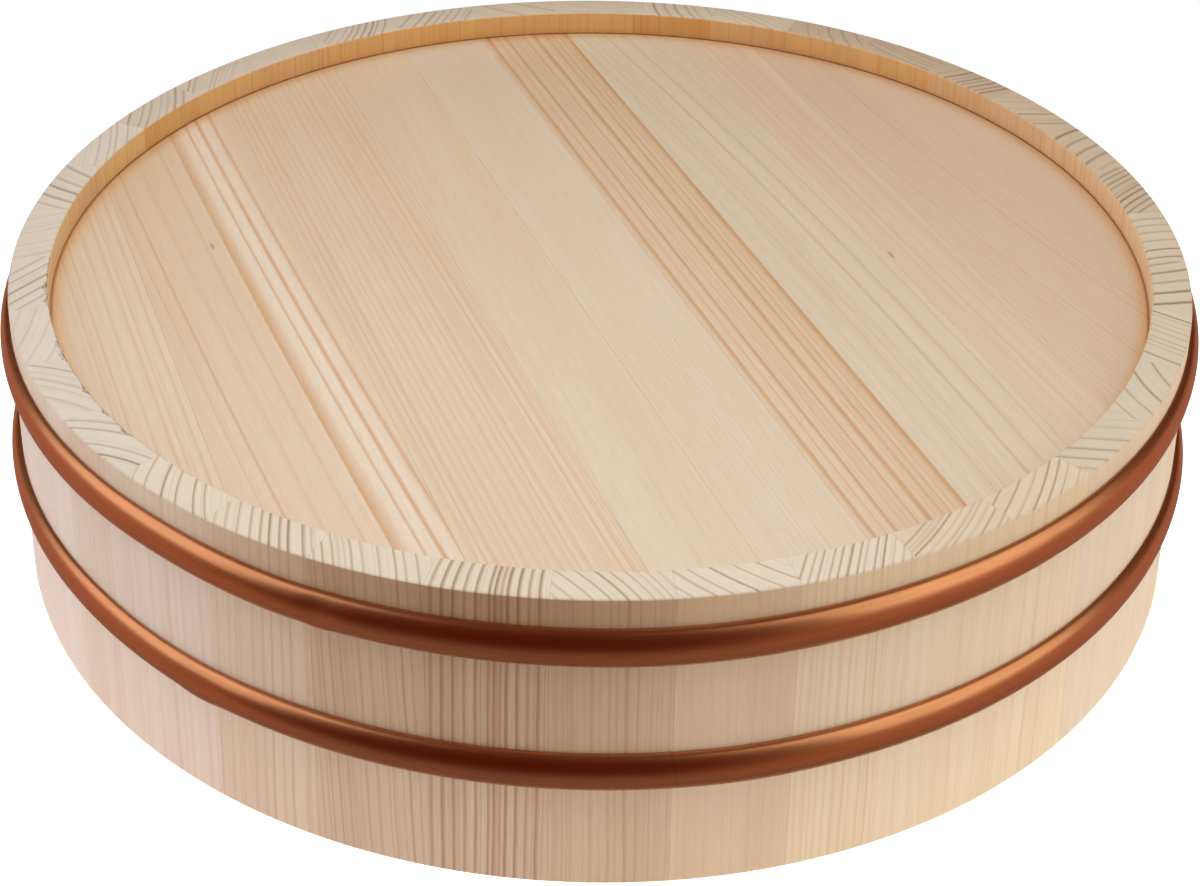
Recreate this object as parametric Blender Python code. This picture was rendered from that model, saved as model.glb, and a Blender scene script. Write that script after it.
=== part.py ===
"""A sushi rice tub of coopered wood, standing on its mouth with the base up.

Thirty-six tapered staves stand in a ring inside two rolled copper hoops. A groove cut round the
inside of the staves, a little below the foot rim, carries a base of nine boards that are pinned
edge to edge with bamboo pegs. Metres, +Z up, with the origin at the middle of the mouth rim.
"""

import math

import bmesh
import bpy
from mathutils import Matrix, Vector

# Wall of staves
HEIGHT = 0.0835
MOUTH_RADIUS = 0.165
FOOT_RADIUS = 0.1616
WALL = 0.0105
RIM_EDGE = 0.0008
STAVE_COUNT = 36
FIRST_JOINT_DEGREES = 6.4
STAVE_FACETS = 3

# Base, set back from the foot rim, with its bevelled edge held in a groove of the staves
FOOT_RECESS = 0.0075
BASE_THICKNESS = 0.012
GROOVE_DEPTH = 0.004
EDGE_BEVEL_DROP = 0.001
EDGE_BEVEL_SHOWS = 0.0005
BOARD_TURN_DEGREES = 20.9
BOARD_WIDTHS = (0.0319, 0.046, 0.0381, 0.0254, 0.0272, 0.0284, 0.0355, 0.0194, 0.0588)
ARC_STEP_DEGREES = 3.0

# Bamboo pins across the joints of the base boards
PIN_RADIUS = 0.0015
PIN_LENGTH = 0.018
PIN_POINT_LENGTH = 0.002
PIN_POINT_RADIUS = 0.0009
PIN_SPACING = 0.14
PIN_STAGGER = 0.012
LONG_JOINT = 0.27
PIN_SIDES = 12

# Rolled copper hoops, half-round and hollow, with their lips on the wood
HOOP_WIDTH = 0.0103
HOOP_PROUD = 0.0028
HOOP_SHEET = 0.0008
FOOT_HOOP_BELOW_FOOT = 0.0128
BELLY_HOOP_BELOW_FOOT = 0.0486
HOOP_OUTER_STEPS = 8
HOOP_INNER_STEPS = 6

# Gap left between pieces that touch
CLEARANCE = 0.0003

# Edges turned by more than these angles stay crisp when the pieces are shaded smooth
SHARP_DEGREES = 25.0
HOOP_SHARP_DEGREES = 60.0

STAVE_TONES = (
    (0.72, 0.56, 0.40),
    (0.75, 0.61, 0.46),
    (0.69, 0.54, 0.39),
    (0.77, 0.62, 0.44),
    (0.73, 0.57, 0.44),
)
BOARD_TONES = (
    (0.74, 0.57, 0.39),
    (0.75, 0.57, 0.37),
    (0.71, 0.53, 0.35),
    (0.72, 0.58, 0.40),
    (0.73, 0.57, 0.41),
    (0.66, 0.42, 0.24),
    (0.70, 0.56, 0.38),
    (0.68, 0.50, 0.34),
    (0.65, 0.46, 0.30),
)
COPPER = (0.60, 0.22, 0.09)
BAMBOO = (0.76, 0.62, 0.36)
SANDED_ROUGHNESS = 0.62
BAMBOO_ROUGHNESS = 0.5
COPPER_ROUGHNESS = 0.32


def outer_radius(z):
    """Radius of the wall's outside at a height above the mouth."""
    return MOUTH_RADIUS + (FOOT_RADIUS - MOUTH_RADIUS) * z / HEIGHT


def inner_radius(z):
    """Radius of the wall's inside at a height above the mouth."""
    return outer_radius(z) - WALL


def base_top():
    """Height of the base's underside, which faces up in this pose."""
    return HEIGHT - FOOT_RECESS


def base_bottom():
    """Height of the base's inner face, the floor that the rice lies on."""
    return base_top() - BASE_THICKNESS


def groove_radius():
    """Radius of the bottom of the groove, measured from the wall at mid base."""
    return inner_radius((base_top() + base_bottom()) / 2) + GROOVE_DEPTH


def base_radius():
    """Radius of the base, which sits in the groove with a clearance."""
    return groove_radius() - CLEARANCE


def top_face_radius():
    """Radius of the base's flat underside, which the narrowest part of the foot leaves free."""
    return inner_radius(HEIGHT) - EDGE_BEVEL_SHOWS


def floor_face_radius():
    """Radius of the base's flat inner face, where the bevel into the groove starts."""
    return inner_radius(base_bottom()) - EDGE_BEVEL_SHOWS


def bevel_drop(face_radius, radius):
    """How far the base's bevelled edge has drawn back from its flat face at a radius."""
    return EDGE_BEVEL_DROP * (radius - face_radius) / (base_radius() - face_radius)


def groove_top(radius):
    """Height of the groove's upper side, which follows the base's bevel."""
    return base_top() + CLEARANCE - bevel_drop(top_face_radius(), radius)


def groove_bottom(radius):
    """Height of the groove's lower side, which follows the base's bevel."""
    return base_bottom() - CLEARANCE + bevel_drop(floor_face_radius(), radius)


def clear_scene():
    """Remove every object of the scene that the file opened with."""
    for thing in list(bpy.data.objects):
        bpy.data.objects.remove(thing, do_unlink=True)


def surface(name, colour, roughness, metallic=0.0):
    """A Principled material of one colour."""
    material = bpy.data.materials.new(name)
    material.use_nodes = True
    shader = material.node_tree.nodes["Principled BSDF"]
    shader.inputs["Base Color"].default_value = (*colour, 1.0)
    shader.inputs["Roughness"].default_value = roughness
    shader.inputs["Metallic"].default_value = metallic
    material.diffuse_color = (*colour, 1.0)
    return material


def add_empty(name, parent=None):
    """An empty that carries the pieces of one sub-assembly."""
    empty = bpy.data.objects.new(name, None)
    bpy.context.scene.collection.objects.link(empty)
    empty.parent = parent
    return empty


def add_piece(name, mesh, material, parent):
    """An object for one piece, with its material on the object, so that copies can share a mesh."""
    piece = bpy.data.objects.new(name, mesh)
    bpy.context.scene.collection.objects.link(piece)
    piece.parent = parent
    if not mesh.materials:
        mesh.materials.append(None)
    piece.material_slots[0].link = "OBJECT"
    piece.material_slots[0].material = material
    return piece


def mesh_from(bm, name, sharp_degrees=SHARP_DEGREES):
    """Turn a bmesh into a smooth-shaded mesh with its faces pointing out."""
    bmesh.ops.recalc_face_normals(bm, faces=bm.faces)
    mesh = bpy.data.meshes.new(name)
    bm.to_mesh(mesh)
    bm.free()
    mesh.shade_smooth()
    mesh.set_sharp_from_angle(angle=math.radians(sharp_degrees))
    return mesh


def stave_profile():
    """Outline of a stave in its own middle plane, as (radius, height) pairs, once round."""
    above_base = inner_radius(base_top())
    below_base = inner_radius(base_bottom())
    return [
        (outer_radius(0) - RIM_EDGE, 0),
        (outer_radius(RIM_EDGE), RIM_EDGE),
        (outer_radius(HEIGHT - RIM_EDGE), HEIGHT - RIM_EDGE),
        (outer_radius(HEIGHT) - RIM_EDGE, HEIGHT),
        (inner_radius(HEIGHT) + RIM_EDGE, HEIGHT),
        (inner_radius(HEIGHT - RIM_EDGE), HEIGHT - RIM_EDGE),
        (above_base, groove_top(above_base)),
        (groove_radius(), groove_top(groove_radius())),
        (groove_radius(), groove_bottom(groove_radius())),
        (below_base, groove_bottom(below_base)),
        (inner_radius(RIM_EDGE), RIM_EDGE),
        (inner_radius(0) + RIM_EDGE, 0),
    ]


def stave_mesh():
    """One stave: its outline turned through its share of the ring, less the gap at the joints."""
    share = 2 * math.pi / STAVE_COUNT
    sweep = share - CLEARANCE / MOUTH_RADIUS
    bm = bmesh.new()
    start = Matrix.Rotation(-sweep / 2, 4, "Z")
    corners = [bm.verts.new(start @ Vector((r, 0, z))) for r, z in stave_profile()]
    face = bm.faces.new(corners)
    bmesh.ops.spin(
        bm,
        geom=[face, *face.edges, *face.verts],
        axis=(0, 0, 1),
        cent=(0, 0, 0),
        angle=sweep,
        steps=STAVE_FACETS,
        use_duplicate=False,
    )
    return mesh_from(bm, "stave")


def build_staves(parent):
    """Stand the staves in a ring, joint to joint."""
    mesh = stave_mesh()
    tones = [
        surface(f"stave wood {number + 1}", colour, SANDED_ROUGHNESS)
        for number, colour in enumerate(STAVE_TONES)
    ]
    share = 360 / STAVE_COUNT
    for number in range(STAVE_COUNT):
        tone = tones[number * 2 % len(tones)]
        stave = add_piece(f"stave_{number + 1:02d}", mesh, tone, parent)
        stave.rotation_euler.z = math.radians(FIRST_JOINT_DEGREES + (number + 0.5) * share)


def board_joints():
    """Places of the board joints across the base, which the boards fill from edge to edge."""
    fill = 2 * base_radius() / sum(BOARD_WIDTHS)
    joints = []
    place = -base_radius()
    for width in BOARD_WIDTHS[:-1]:
        place += width * fill
        joints.append(place)
    return joints


def joint_half_length(joint):
    """Half the length of a board joint, from its middle to the rim of the base."""
    return math.sqrt(base_radius() ** 2 - joint**2)


def rim_angles(left, right, radius):
    """Angles at which a board's two sides meet a rim of this radius, the left side's first."""
    return math.acos(max(-1.0, left / radius)), math.acos(min(1.0, right / radius))


def board_outline(left, right, radius):
    """Outline of one board seen from above, with its round ends at this radius."""
    full_first, full_last = rim_angles(left, right, base_radius())
    steps = max(1, math.ceil(math.degrees(full_first - full_last) / ARC_STEP_DEGREES))
    first, last = rim_angles(left, right, radius)
    top = []
    bottom = []
    for step in range(steps + 1):
        angle = first + (last - first) * step / steps
        top.append((radius * math.cos(angle), radius * math.sin(angle)))
        bottom.append((radius * math.cos(angle), -radius * math.sin(angle)))
    if left <= -base_radius():
        bottom = bottom[1:]
    if right >= base_radius():
        bottom = bottom[:-1]
    return top + bottom[::-1]


def board_mesh(name, left, right):
    """A board of the base: its outline at four heights, joined up, with its round ends bevelled."""
    levels = (
        (base_bottom(), floor_face_radius()),
        (base_bottom() + EDGE_BEVEL_DROP, base_radius()),
        (base_top() - EDGE_BEVEL_DROP, base_radius()),
        (base_top(), top_face_radius()),
    )
    bm = bmesh.new()
    rings = []
    for z, radius in levels:
        outline = board_outline(left, right, radius)
        rings.append([bm.verts.new((x, y, z)) for x, y in outline])
    for lower, upper in zip(rings, rings[1:]):
        count = len(lower)
        for i in range(count):
            j = (i + 1) % count
            bm.faces.new((lower[i], lower[j], upper[j], upper[i]))
    bm.faces.new(rings[0])
    bm.faces.new(rings[-1])
    return mesh_from(bm, name)


def pin_places(number, joint):
    """Places of the pins along one joint: two in a long joint, one in a short one, staggered."""
    shift = PIN_STAGGER if number % 2 else -PIN_STAGGER
    if 2 * joint_half_length(joint) > LONG_JOINT:
        return [shift - PIN_SPACING / 2, shift + PIN_SPACING / 2]
    return [shift]


def pin_mesh():
    """A bamboo pin along X, round, with both ends pointed."""
    half = PIN_LENGTH / 2
    stations = (
        (-half, PIN_POINT_RADIUS),
        (-half + PIN_POINT_LENGTH, PIN_RADIUS),
        (half - PIN_POINT_LENGTH, PIN_RADIUS),
        (half, PIN_POINT_RADIUS),
    )
    bm = bmesh.new()
    rings = []
    for x, radius in stations:
        ring = []
        for side in range(PIN_SIDES):
            angle = 2 * math.pi * side / PIN_SIDES
            ring.append(bm.verts.new((x, radius * math.cos(angle), radius * math.sin(angle))))
        rings.append(ring)
    for near, far in zip(rings, rings[1:]):
        bmesh.ops.bridge_loops(bm, edges=loop_edges(bm, near) + loop_edges(bm, far))
    bm.faces.new(rings[0])
    bm.faces.new(rings[-1])
    return mesh_from(bm, "base pin")


def loop_edges(bm, ring):
    """The edges that join a ring of vertices, made where there are none yet."""
    edges = []
    for here, there in zip(ring, ring[1:] + ring[:1]):
        edges.append(bm.edges.get((here, there)) or bm.edges.new((here, there)))
    return edges


def hole_cutter(name, joint, along, parent):
    """A hidden cylinder that cuts a pin's hole in the two boards beside a joint."""
    bm = bmesh.new()
    bmesh.ops.create_cone(
        bm,
        cap_ends=True,
        segments=PIN_SIDES,
        radius1=PIN_RADIUS + CLEARANCE,
        radius2=PIN_RADIUS + CLEARANCE,
        depth=PIN_LENGTH + 2 * CLEARANCE,
        matrix=Matrix.Rotation(math.pi / 2, 4, "Y"),
    )
    cutter = bpy.data.objects.new(name, mesh_from(bm, name))
    bpy.context.scene.collection.objects.link(cutter)
    cutter.parent = parent
    cutter.location = (joint, along, pin_height())
    cutter.display_type = "WIRE"
    cutter.hide_render = True
    return cutter


def pin_height():
    """Pins lie at the middle of the base's thickness."""
    return (base_bottom() + base_top()) / 2


def build_base(parent):
    """The boards side by side across the base, with a pin or two in each joint."""
    base = add_empty("base", parent)
    base.rotation_euler.z = math.radians(BOARD_TURN_DEGREES)
    joints = board_joints()
    sides = [-base_radius(), *joints, base_radius()]
    boards = []
    for number, (left, right) in enumerate(zip(sides, sides[1:])):
        name = f"base_board_{number + 1}"
        near = left + (CLEARANCE / 2 if number else 0)
        far = right - (CLEARANCE / 2 if number < len(joints) else 0)
        tone = BOARD_TONES[number % len(BOARD_TONES)]
        material = surface(f"base wood {number + 1}", tone, SANDED_ROUGHNESS)
        boards.append(add_piece(name, board_mesh(name, near, far), material, base))
    bamboo = surface("bamboo", BAMBOO, BAMBOO_ROUGHNESS)
    mesh = pin_mesh()
    count = 0
    for number, joint in enumerate(joints):
        for along in pin_places(number, joint):
            count += 1
            pin = add_piece(f"base_pin_{count:02d}", mesh, bamboo, base)
            pin.location = (joint, along, pin_height())
            cutter = hole_cutter(f"pin hole {count}", joint, along, base)
            for board in boards[number : number + 2]:
                hole = board.modifiers.new(cutter.name, "BOOLEAN")
                hole.operation = "DIFFERENCE"
                hole.solver = "EXACT"
                hole.object = cutter


def hoop_section(middle):
    """Section of a hoop as (radius, height) pairs: a half-round shell with two flat lips."""
    points = []
    for step in range(HOOP_OUTER_STEPS + 1):
        angle = math.pi * (step / HOOP_OUTER_STEPS - 0.5)
        points.append(hoop_point(middle, HOOP_WIDTH / 2, HOOP_PROUD, angle))
    for step in range(HOOP_INNER_STEPS + 1):
        angle = math.pi * (0.5 - step / HOOP_INNER_STEPS)
        half_width = HOOP_WIDTH / 2 - HOOP_SHEET
        points.append(hoop_point(middle, half_width, HOOP_PROUD - HOOP_SHEET, angle))
    return points


def hoop_point(middle, half_width, proud, angle):
    """A point of a half ellipse that stands on the wall, seen in section."""
    z = middle + half_width * math.sin(angle)
    return outer_radius(z) + CLEARANCE + proud * math.cos(angle), z


def hoop_mesh(name, middle):
    """A hoop: its section turned once round the tub."""
    bm = bmesh.new()
    start = Matrix.Rotation(math.radians(FIRST_JOINT_DEGREES), 4, "Z")
    ring = [bm.verts.new(start @ Vector((r, 0, z))) for r, z in hoop_section(middle)]
    edges = loop_edges(bm, ring)
    bmesh.ops.spin(
        bm,
        geom=[*ring, *edges],
        axis=(0, 0, 1),
        cent=(0, 0, 0),
        angle=2 * math.pi,
        steps=STAVE_COUNT * STAVE_FACETS,
        use_merge=True,
        use_duplicate=False,
    )
    return mesh_from(bm, name, HOOP_SHARP_DEGREES)


def build_hoops(parent):
    """Two copper hoops, one near the foot and one at the belly of the wall."""
    copper = surface("copper", COPPER, COPPER_ROUGHNESS, metallic=1.0)
    hoops = (
        ("foot_hoop", FOOT_HOOP_BELOW_FOOT),
        ("belly_hoop", BELLY_HOOP_BELOW_FOOT),
    )
    for name, below_foot in hoops:
        add_piece(name, hoop_mesh(name, HEIGHT - below_foot), copper, parent)


def main():
    """Build the whole tub."""
    clear_scene()
    tub = add_empty("tub")
    build_staves(tub)
    build_base(tub)
    build_hoops(tub)


main()
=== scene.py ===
"""Looks of a coopered rice tub that stands on its mouth, with its base up.

The wall is a ring of staves whose end grain shows on the foot rim. The base is nine boards set
back inside that rim, and two copper hoops hold the wall together. Lengths are in metres; where a
name ends in _mm the value is in millimetres, which is also the scale of the grain patterns.
"""

import logging
import math
from collections.abc import Callable
from dataclasses import dataclass
from enum import Enum

import bmesh
import bpy
from mathutils import Matrix, Vector


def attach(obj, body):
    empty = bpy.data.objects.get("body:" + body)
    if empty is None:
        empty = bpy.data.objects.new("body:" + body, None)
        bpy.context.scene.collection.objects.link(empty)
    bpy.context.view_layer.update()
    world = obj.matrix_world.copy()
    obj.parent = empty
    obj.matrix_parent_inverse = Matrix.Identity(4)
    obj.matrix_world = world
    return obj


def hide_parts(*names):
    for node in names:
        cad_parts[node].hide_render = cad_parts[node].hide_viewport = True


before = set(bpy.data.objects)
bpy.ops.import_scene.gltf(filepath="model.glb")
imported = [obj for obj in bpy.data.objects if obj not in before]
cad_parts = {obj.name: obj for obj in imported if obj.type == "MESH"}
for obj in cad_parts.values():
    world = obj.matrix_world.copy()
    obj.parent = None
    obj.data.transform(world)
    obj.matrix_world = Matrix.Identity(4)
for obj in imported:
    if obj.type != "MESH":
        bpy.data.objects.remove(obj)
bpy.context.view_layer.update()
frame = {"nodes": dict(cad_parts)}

Colour = tuple[float, float, float]
MM = 1000.0
BOARD_TURN = 20.9
LOG = logging.getLogger("rice_tub")


def paint(red: int, green: int, blue: int) -> Colour:
    """The linear colour that shaders use for display values from 0 to 255."""
    parts = [value / 255 for value in (red, green, blue)]
    return tuple(p / 12.92 if p <= 0.04045 else ((p + 0.055) / 1.055) ** 2.4 for p in parts)


def scaled(colour: Colour, by: float) -> Colour:
    """A colour made lighter or darker."""
    return tuple(part * by for part in colour)


def between(first: Colour, second: Colour, share: float) -> Colour:
    """A colour between two, nearer to the second as the share grows to one."""
    return tuple(a + (b - a) * share for a, b in zip(first, second))


def opaque(value: object) -> object:
    """A colour with its alpha, or the value as it is."""
    return (*value, 1.0) if isinstance(value, tuple) and len(value) == 3 else value


class Slot(Enum):
    """Material slots of the record that a piece can take its finish from."""

    WALL = "wall_wood"
    BASE = "base_wood"
    BAMBOO = "bamboo"
    COPPER = "copper"


class Body(Enum):
    """Bodies that a piece can ride on; the tub is one rigid body."""

    TUB = "root"


class SeenBy(Enum):
    """What a light acts on: how the wood is lit, what the satin copper mirrors, or both."""

    ALL = (True, True)
    LIT_WOOD = (True, False)
    MIRRORS = (False, True)


class Tone(Enum):
    """Colours of the staves' side grain, with the colour of the late wood in it."""

    ROSE = (paint(226, 209, 196), paint(204, 168, 148))
    PINKISH = (paint(222, 203, 185), paint(194, 148, 124))
    FAWN = (paint(217, 195, 170), paint(184, 132, 102))
    BROWN = (paint(209, 184, 157), paint(176, 121, 90))
    BROWNISH = (paint(210, 187, 157), paint(172, 117, 84))
    TAN = (paint(209, 183, 151), paint(178, 126, 88))
    WARM = (paint(217, 192, 160), paint(200, 150, 110))
    YELLOWISH = (paint(226, 207, 174), paint(204, 156, 114))
    PALE = (paint(224, 206, 180), paint(202, 160, 124))


class EndTone(Enum):
    """Colours of the staves' end grain, with the colour of the ring lines in it. The tones grow
    darker from the front of the rim towards the back, which is painted shade on top of each stave's
    own tone.
    """

    PEARL = (paint(216, 201, 182), paint(128, 106, 82))
    ASH = (paint(218, 203, 185), paint(132, 106, 76))
    IVORY = (paint(222, 205, 182), paint(142, 102, 64))
    HONEY = (paint(217, 196, 168), paint(136, 102, 64))
    WHEAT = (paint(209, 192, 167), paint(136, 102, 64))
    STRAW = (paint(207, 189, 163), paint(122, 92, 58))
    SAND = (paint(201, 180, 151), paint(114, 88, 58))
    AMBER = (paint(194, 171, 142), paint(110, 84, 54))
    OAT = (paint(208, 191, 169), paint(122, 96, 66))


def math_method(kind: str, flipped: bool = False) -> Callable[..., "Expr"]:
    """A method of Expr that adds one Math node.

    Args:
        kind: The node's operation.
        flipped: Whether the expression comes last, as with a number on its left.

    Returns:
        The method, which takes the other operands.
    """

    def method(self: "Expr", *others: "Expr | float") -> "Expr":
        """Add the node for this expression and the other operands."""
        operands = (*others, self) if flipped else (self, *others)
        return self.graph.math(kind, *operands)

    return method


class Expr:
    """A node socket that can be used in a Python sum, which adds the Math nodes.

    Tests with below and above give one where they hold, and zero elsewhere. The whole number below
    a value and the part left above it come from whole and part.
    """

    __add__ = math_method("ADD")
    __radd__ = math_method("ADD", flipped=True)
    __sub__ = math_method("SUBTRACT")
    __rsub__ = math_method("SUBTRACT", flipped=True)
    __mul__ = math_method("MULTIPLY")
    __rmul__ = math_method("MULTIPLY", flipped=True)
    __truediv__ = math_method("DIVIDE")
    __pow__ = math_method("POWER")
    __abs__ = math_method("ABSOLUTE")
    least = math_method("MINIMUM")
    most = math_method("MAXIMUM")
    below = math_method("LESS_THAN")
    above = math_method("GREATER_THAN")
    sine = math_method("SINE")
    cosine = math_method("COSINE")
    whole = math_method("FLOOR")
    part = math_method("FRACT")

    def __init__(self, graph: "Graph", socket: bpy.types.NodeSocket) -> None:
        """Wrap an output socket of a node that is in the graph."""
        self.graph = graph
        self.socket = socket

    def rise(self, low: float, high: float) -> "Expr":
        """Smooth step from zero at one value to one at another, which may be the smaller."""
        return self.graph.stretch(self, low, high, "SMOOTHSTEP")

    def bump(self, place: float, half_width: float) -> "Expr":
        """A smooth hump of height one round a place, zero past its half width."""
        return abs(self - place).rise(half_width, 0.0)


class Graph:
    """Builds nodes in one tree, for materials and for Geometry Nodes alike."""

    COLUMNS = 14
    COLUMN_WIDTH = 190
    ROW_HEIGHT = 260

    def __init__(self, tree: bpy.types.NodeTree) -> None:
        """Take over a node tree, which is emptied."""
        self.tree = tree
        tree.nodes.clear()

    def node(
        self,
        kind: str,
        settings: dict[str, object] | None = None,
        inputs: dict[str | int, object] | None = None,
    ) -> bpy.types.Node:
        """Add a node.

        Args:
            kind: The node's type name.
            settings: Properties of the node, set before its sockets are read.
            inputs: Numbers, vectors or links for its sockets, by identifier, name or place.

        Returns:
            The node.
        """
        count = len(self.tree.nodes)
        made = self.tree.nodes.new(kind)
        made.location = (
            count % self.COLUMNS * self.COLUMN_WIDTH,
            -(count // self.COLUMNS) * self.ROW_HEIGHT,
        )
        for name, value in (settings or {}).items():
            setattr(made, name, value)
        for key, value in (inputs or {}).items():
            self.feed(self.find(made.inputs, key), value)
        return made

    def find(self, sockets: bpy.types.bpy_prop_collection, key: str | int) -> bpy.types.NodeSocket:
        """Find a socket by place, identifier or name.

        Args:
            sockets: The inputs or outputs of a node.
            key: The place, identifier or name.

        Returns:
            The socket.
        """
        if isinstance(key, int):
            return sockets[key]
        named = [s for s in sockets if s.identifier == key]
        return (named or [s for s in sockets if s.name == key and s.enabled])[0]

    def feed(self, socket: bpy.types.NodeSocket, value: object) -> None:
        """Link a socket to an expression, or set its value.

        Args:
            socket: The socket.
            value: An expression, or the value itself.
        """
        if isinstance(value, Expr):
            self.tree.links.new(value.socket, socket)
        else:
            socket.default_value = value

    def take(self, node: bpy.types.Node, key: str | int = 0) -> Expr:
        """An output of a node, as an expression."""
        return Expr(self, self.find(node.outputs, key))

    def math(self, operation: str, *values: "Expr | float") -> Expr:
        """A Math node with its operands, which are numbers or expressions."""
        operands = dict(enumerate(values))
        return self.take(self.node("ShaderNodeMath", {"operation": operation}, operands))

    def stretch(self, value: Expr, low: float, high: float, way: str = "LINEAR") -> Expr:
        """Carry the range from low to high over to the one from zero to one, held inside it."""
        inputs = {"Value": value, "From Min": low, "From Max": high}
        return self.take(self.node("ShaderNodeMapRange", {"interpolation_type": way}, inputs))

    def combine(self, x: "Expr | float", y: "Expr | float", z: "Expr | float") -> Expr:
        """A vector from its three numbers."""
        return self.take(self.node("ShaderNodeCombineXYZ", None, {0: x, 1: y, 2: z}))

    def separate(self, vector: Expr) -> tuple[Expr, Expr, Expr]:
        """The three numbers of a vector."""
        made = self.node("ShaderNodeSeparateXYZ", None, {0: vector})
        return self.take(made, 0), self.take(made, 1), self.take(made, 2)

    def blend(self, share: "Expr | float", first: object, second: object, way: str = "MIX") -> Expr:
        """Mix two colours.

        Args:
            share: How much of the second colour, from zero to one.
            first: A colour or an expression.
            second: A colour or an expression.
            way: The Mix node's blend type.

        Returns:
            The mixed colour.
        """
        settings = {"data_type": "RGBA", "blend_type": way}
        inputs = {"Factor_Float": share, "A_Color": opaque(first), "B_Color": opaque(second)}
        return self.take(self.node("ShaderNodeMix", settings, inputs), "Result_Color")


class ShapeTree(Graph):
    """A Geometry Nodes tree with named inputs, which ends in real geometry with a material."""

    SHARP_DEGREES = 32.0

    def __init__(self, name: str) -> None:
        """Start a tree.

        Args:
            name: The tree's name.
        """
        super().__init__(bpy.data.node_groups.new(name, "GeometryNodeTree"))
        self.values: dict[str, object] = {}
        self.socket("Geometry", "NodeSocketGeometry")
        self.tree.interface.new_socket(
            "Geometry", in_out="OUTPUT", socket_type="NodeSocketGeometry"
        )
        self.entry = self.node("NodeGroupInput")
        self.source = self.take(self.entry, "Geometry")

    def socket(self, name: str, kind: str) -> bpy.types.NodeTreeInterfaceSocket:
        """Add a named input."""
        return self.tree.interface.new_socket(name, in_out="INPUT", socket_type=kind)

    def size(self, name: str, value: float) -> Expr:
        """Add a named input for a size, or for a count where its value is a whole number.

        Args:
            name: The input's name.
            value: What the modifier sets it to.

        Returns:
            The input as an expression.
        """
        kind = "NodeSocketInt" if isinstance(value, int) else "NodeSocketFloat"
        self.values[self.socket(name, kind).identifier] = value
        return self.take(self.entry, name)

    def position(self) -> Expr:
        """Each point's place."""
        return self.take(self.node("GeometryNodeInputPosition"))

    def index(self) -> Expr:
        """Each point's number."""
        return self.take(self.node("GeometryNodeInputIndex"))

    def named(self, name: str, kind: str) -> Expr:
        """An attribute by its name."""
        made = self.node("GeometryNodeInputNamedAttribute", {"data_type": kind}, {"Name": name})
        return self.take(made, "Attribute")

    def choose(self, kind: str, values: list[object]) -> Expr:
        """A value for each point, in the order of the points.

        Args:
            kind: FLOAT or VECTOR.
            values: Numbers, vectors or expressions.

        Returns:
            The value that belongs to a point's number.
        """
        made = self.node("GeometryNodeIndexSwitch", {"data_type": kind})
        made.index_switch_items.clear()
        for _ in values:
            made.index_switch_items.new()
        self.feed(made.inputs[0], self.index())
        for place, value in enumerate(values):
            self.feed(made.inputs[place + 1], value)
        return self.take(made)

    def outline(
        self, corners: list[tuple[Expr, Expr | float]], rounds: list[Expr], points: int
    ) -> Expr:
        """A closed outline through corners, each rounded by its own radius.

        A swept outline is turned over, so the heights go in with their sign changed.

        Args:
            corners: Pairs of radius and height.
            rounds: Radius of the rounding at each corner.
            points: Points in each rounding.

        Returns:
            The outline as a curve.
        """
        line = self.take(self.node("GeometryNodeMeshLine", None, {"Count": len(corners)}))
        places = [self.combine(radius, height * -1.0, 0.0) for radius, height in corners]
        placed = self.move(line, self.choose("VECTOR", places))
        curve = self.take(self.node("GeometryNodeMeshToCurve", None, {0: placed}))
        inputs = {
            "Curve": self.closed(curve),
            "Count": points,
            "Radius": self.choose("FLOAT", rounds),
            "Limit Radius": True,
        }
        return self.take(self.node("GeometryNodeFilletCurve", {"mode": "POLY"}, inputs))

    def closed(self, curve: Expr) -> Expr:
        """Join a curve's last point to its first."""
        inputs = {"Geometry": curve, "Cyclic": True}
        return self.take(self.node("GeometryNodeSetSplineCyclic", None, inputs))

    def straight(self, length: Expr, points: Expr) -> Expr:
        """A straight path along Y, centred, whose length stands for an angle in radians.

        Args:
            length: Its length.
            points: How many points it has.

        Returns:
            The path as a curve.
        """
        ends = {
            "Start": self.combine(0.0, length * -0.5, 0.0),
            "End": self.combine(0.0, length * 0.5, 0.0),
        }
        line = self.take(self.node("GeometryNodeCurvePrimitiveLine", None, ends))
        inputs = {"Curve": line, "Count": points}
        return self.take(self.node("GeometryNodeResampleCurve", {"mode": "COUNT"}, inputs))

    def circle(self, radius: Expr, points: Expr) -> Expr:
        """A round path."""
        inputs = {"Resolution": points, "Radius": radius}
        return self.take(self.node("GeometryNodeCurvePrimitiveCircle", None, inputs))

    def sweep(self, path: Expr, profile: Expr) -> Expr:
        """Carry an outline along a path, with any open ends closed."""
        inputs = {"Curve": path, "Profile Curve": profile, "Fill Caps": True}
        return self.take(self.node("GeometryNodeCurveToMesh", None, inputs))

    def move(self, shape: Expr, place: Expr) -> Expr:
        """Give each point a new place."""
        inputs = {"Geometry": shape, "Position": place}
        return self.take(self.node("GeometryNodeSetPosition", None, inputs))

    def keep(self, shape: Expr, name: str, value: Expr) -> Expr:
        """Keep a vector of each point as a named attribute.

        Args:
            shape: The geometry.
            name: The attribute's name.
            value: The vector.

        Returns:
            The geometry with its attribute.
        """
        settings = {"data_type": "FLOAT_VECTOR", "domain": "POINT"}
        inputs = {"Geometry": shape, "Name": name, "Value": value}
        return self.take(self.node("GeometryNodeStoreNamedAttribute", settings, inputs))

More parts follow.
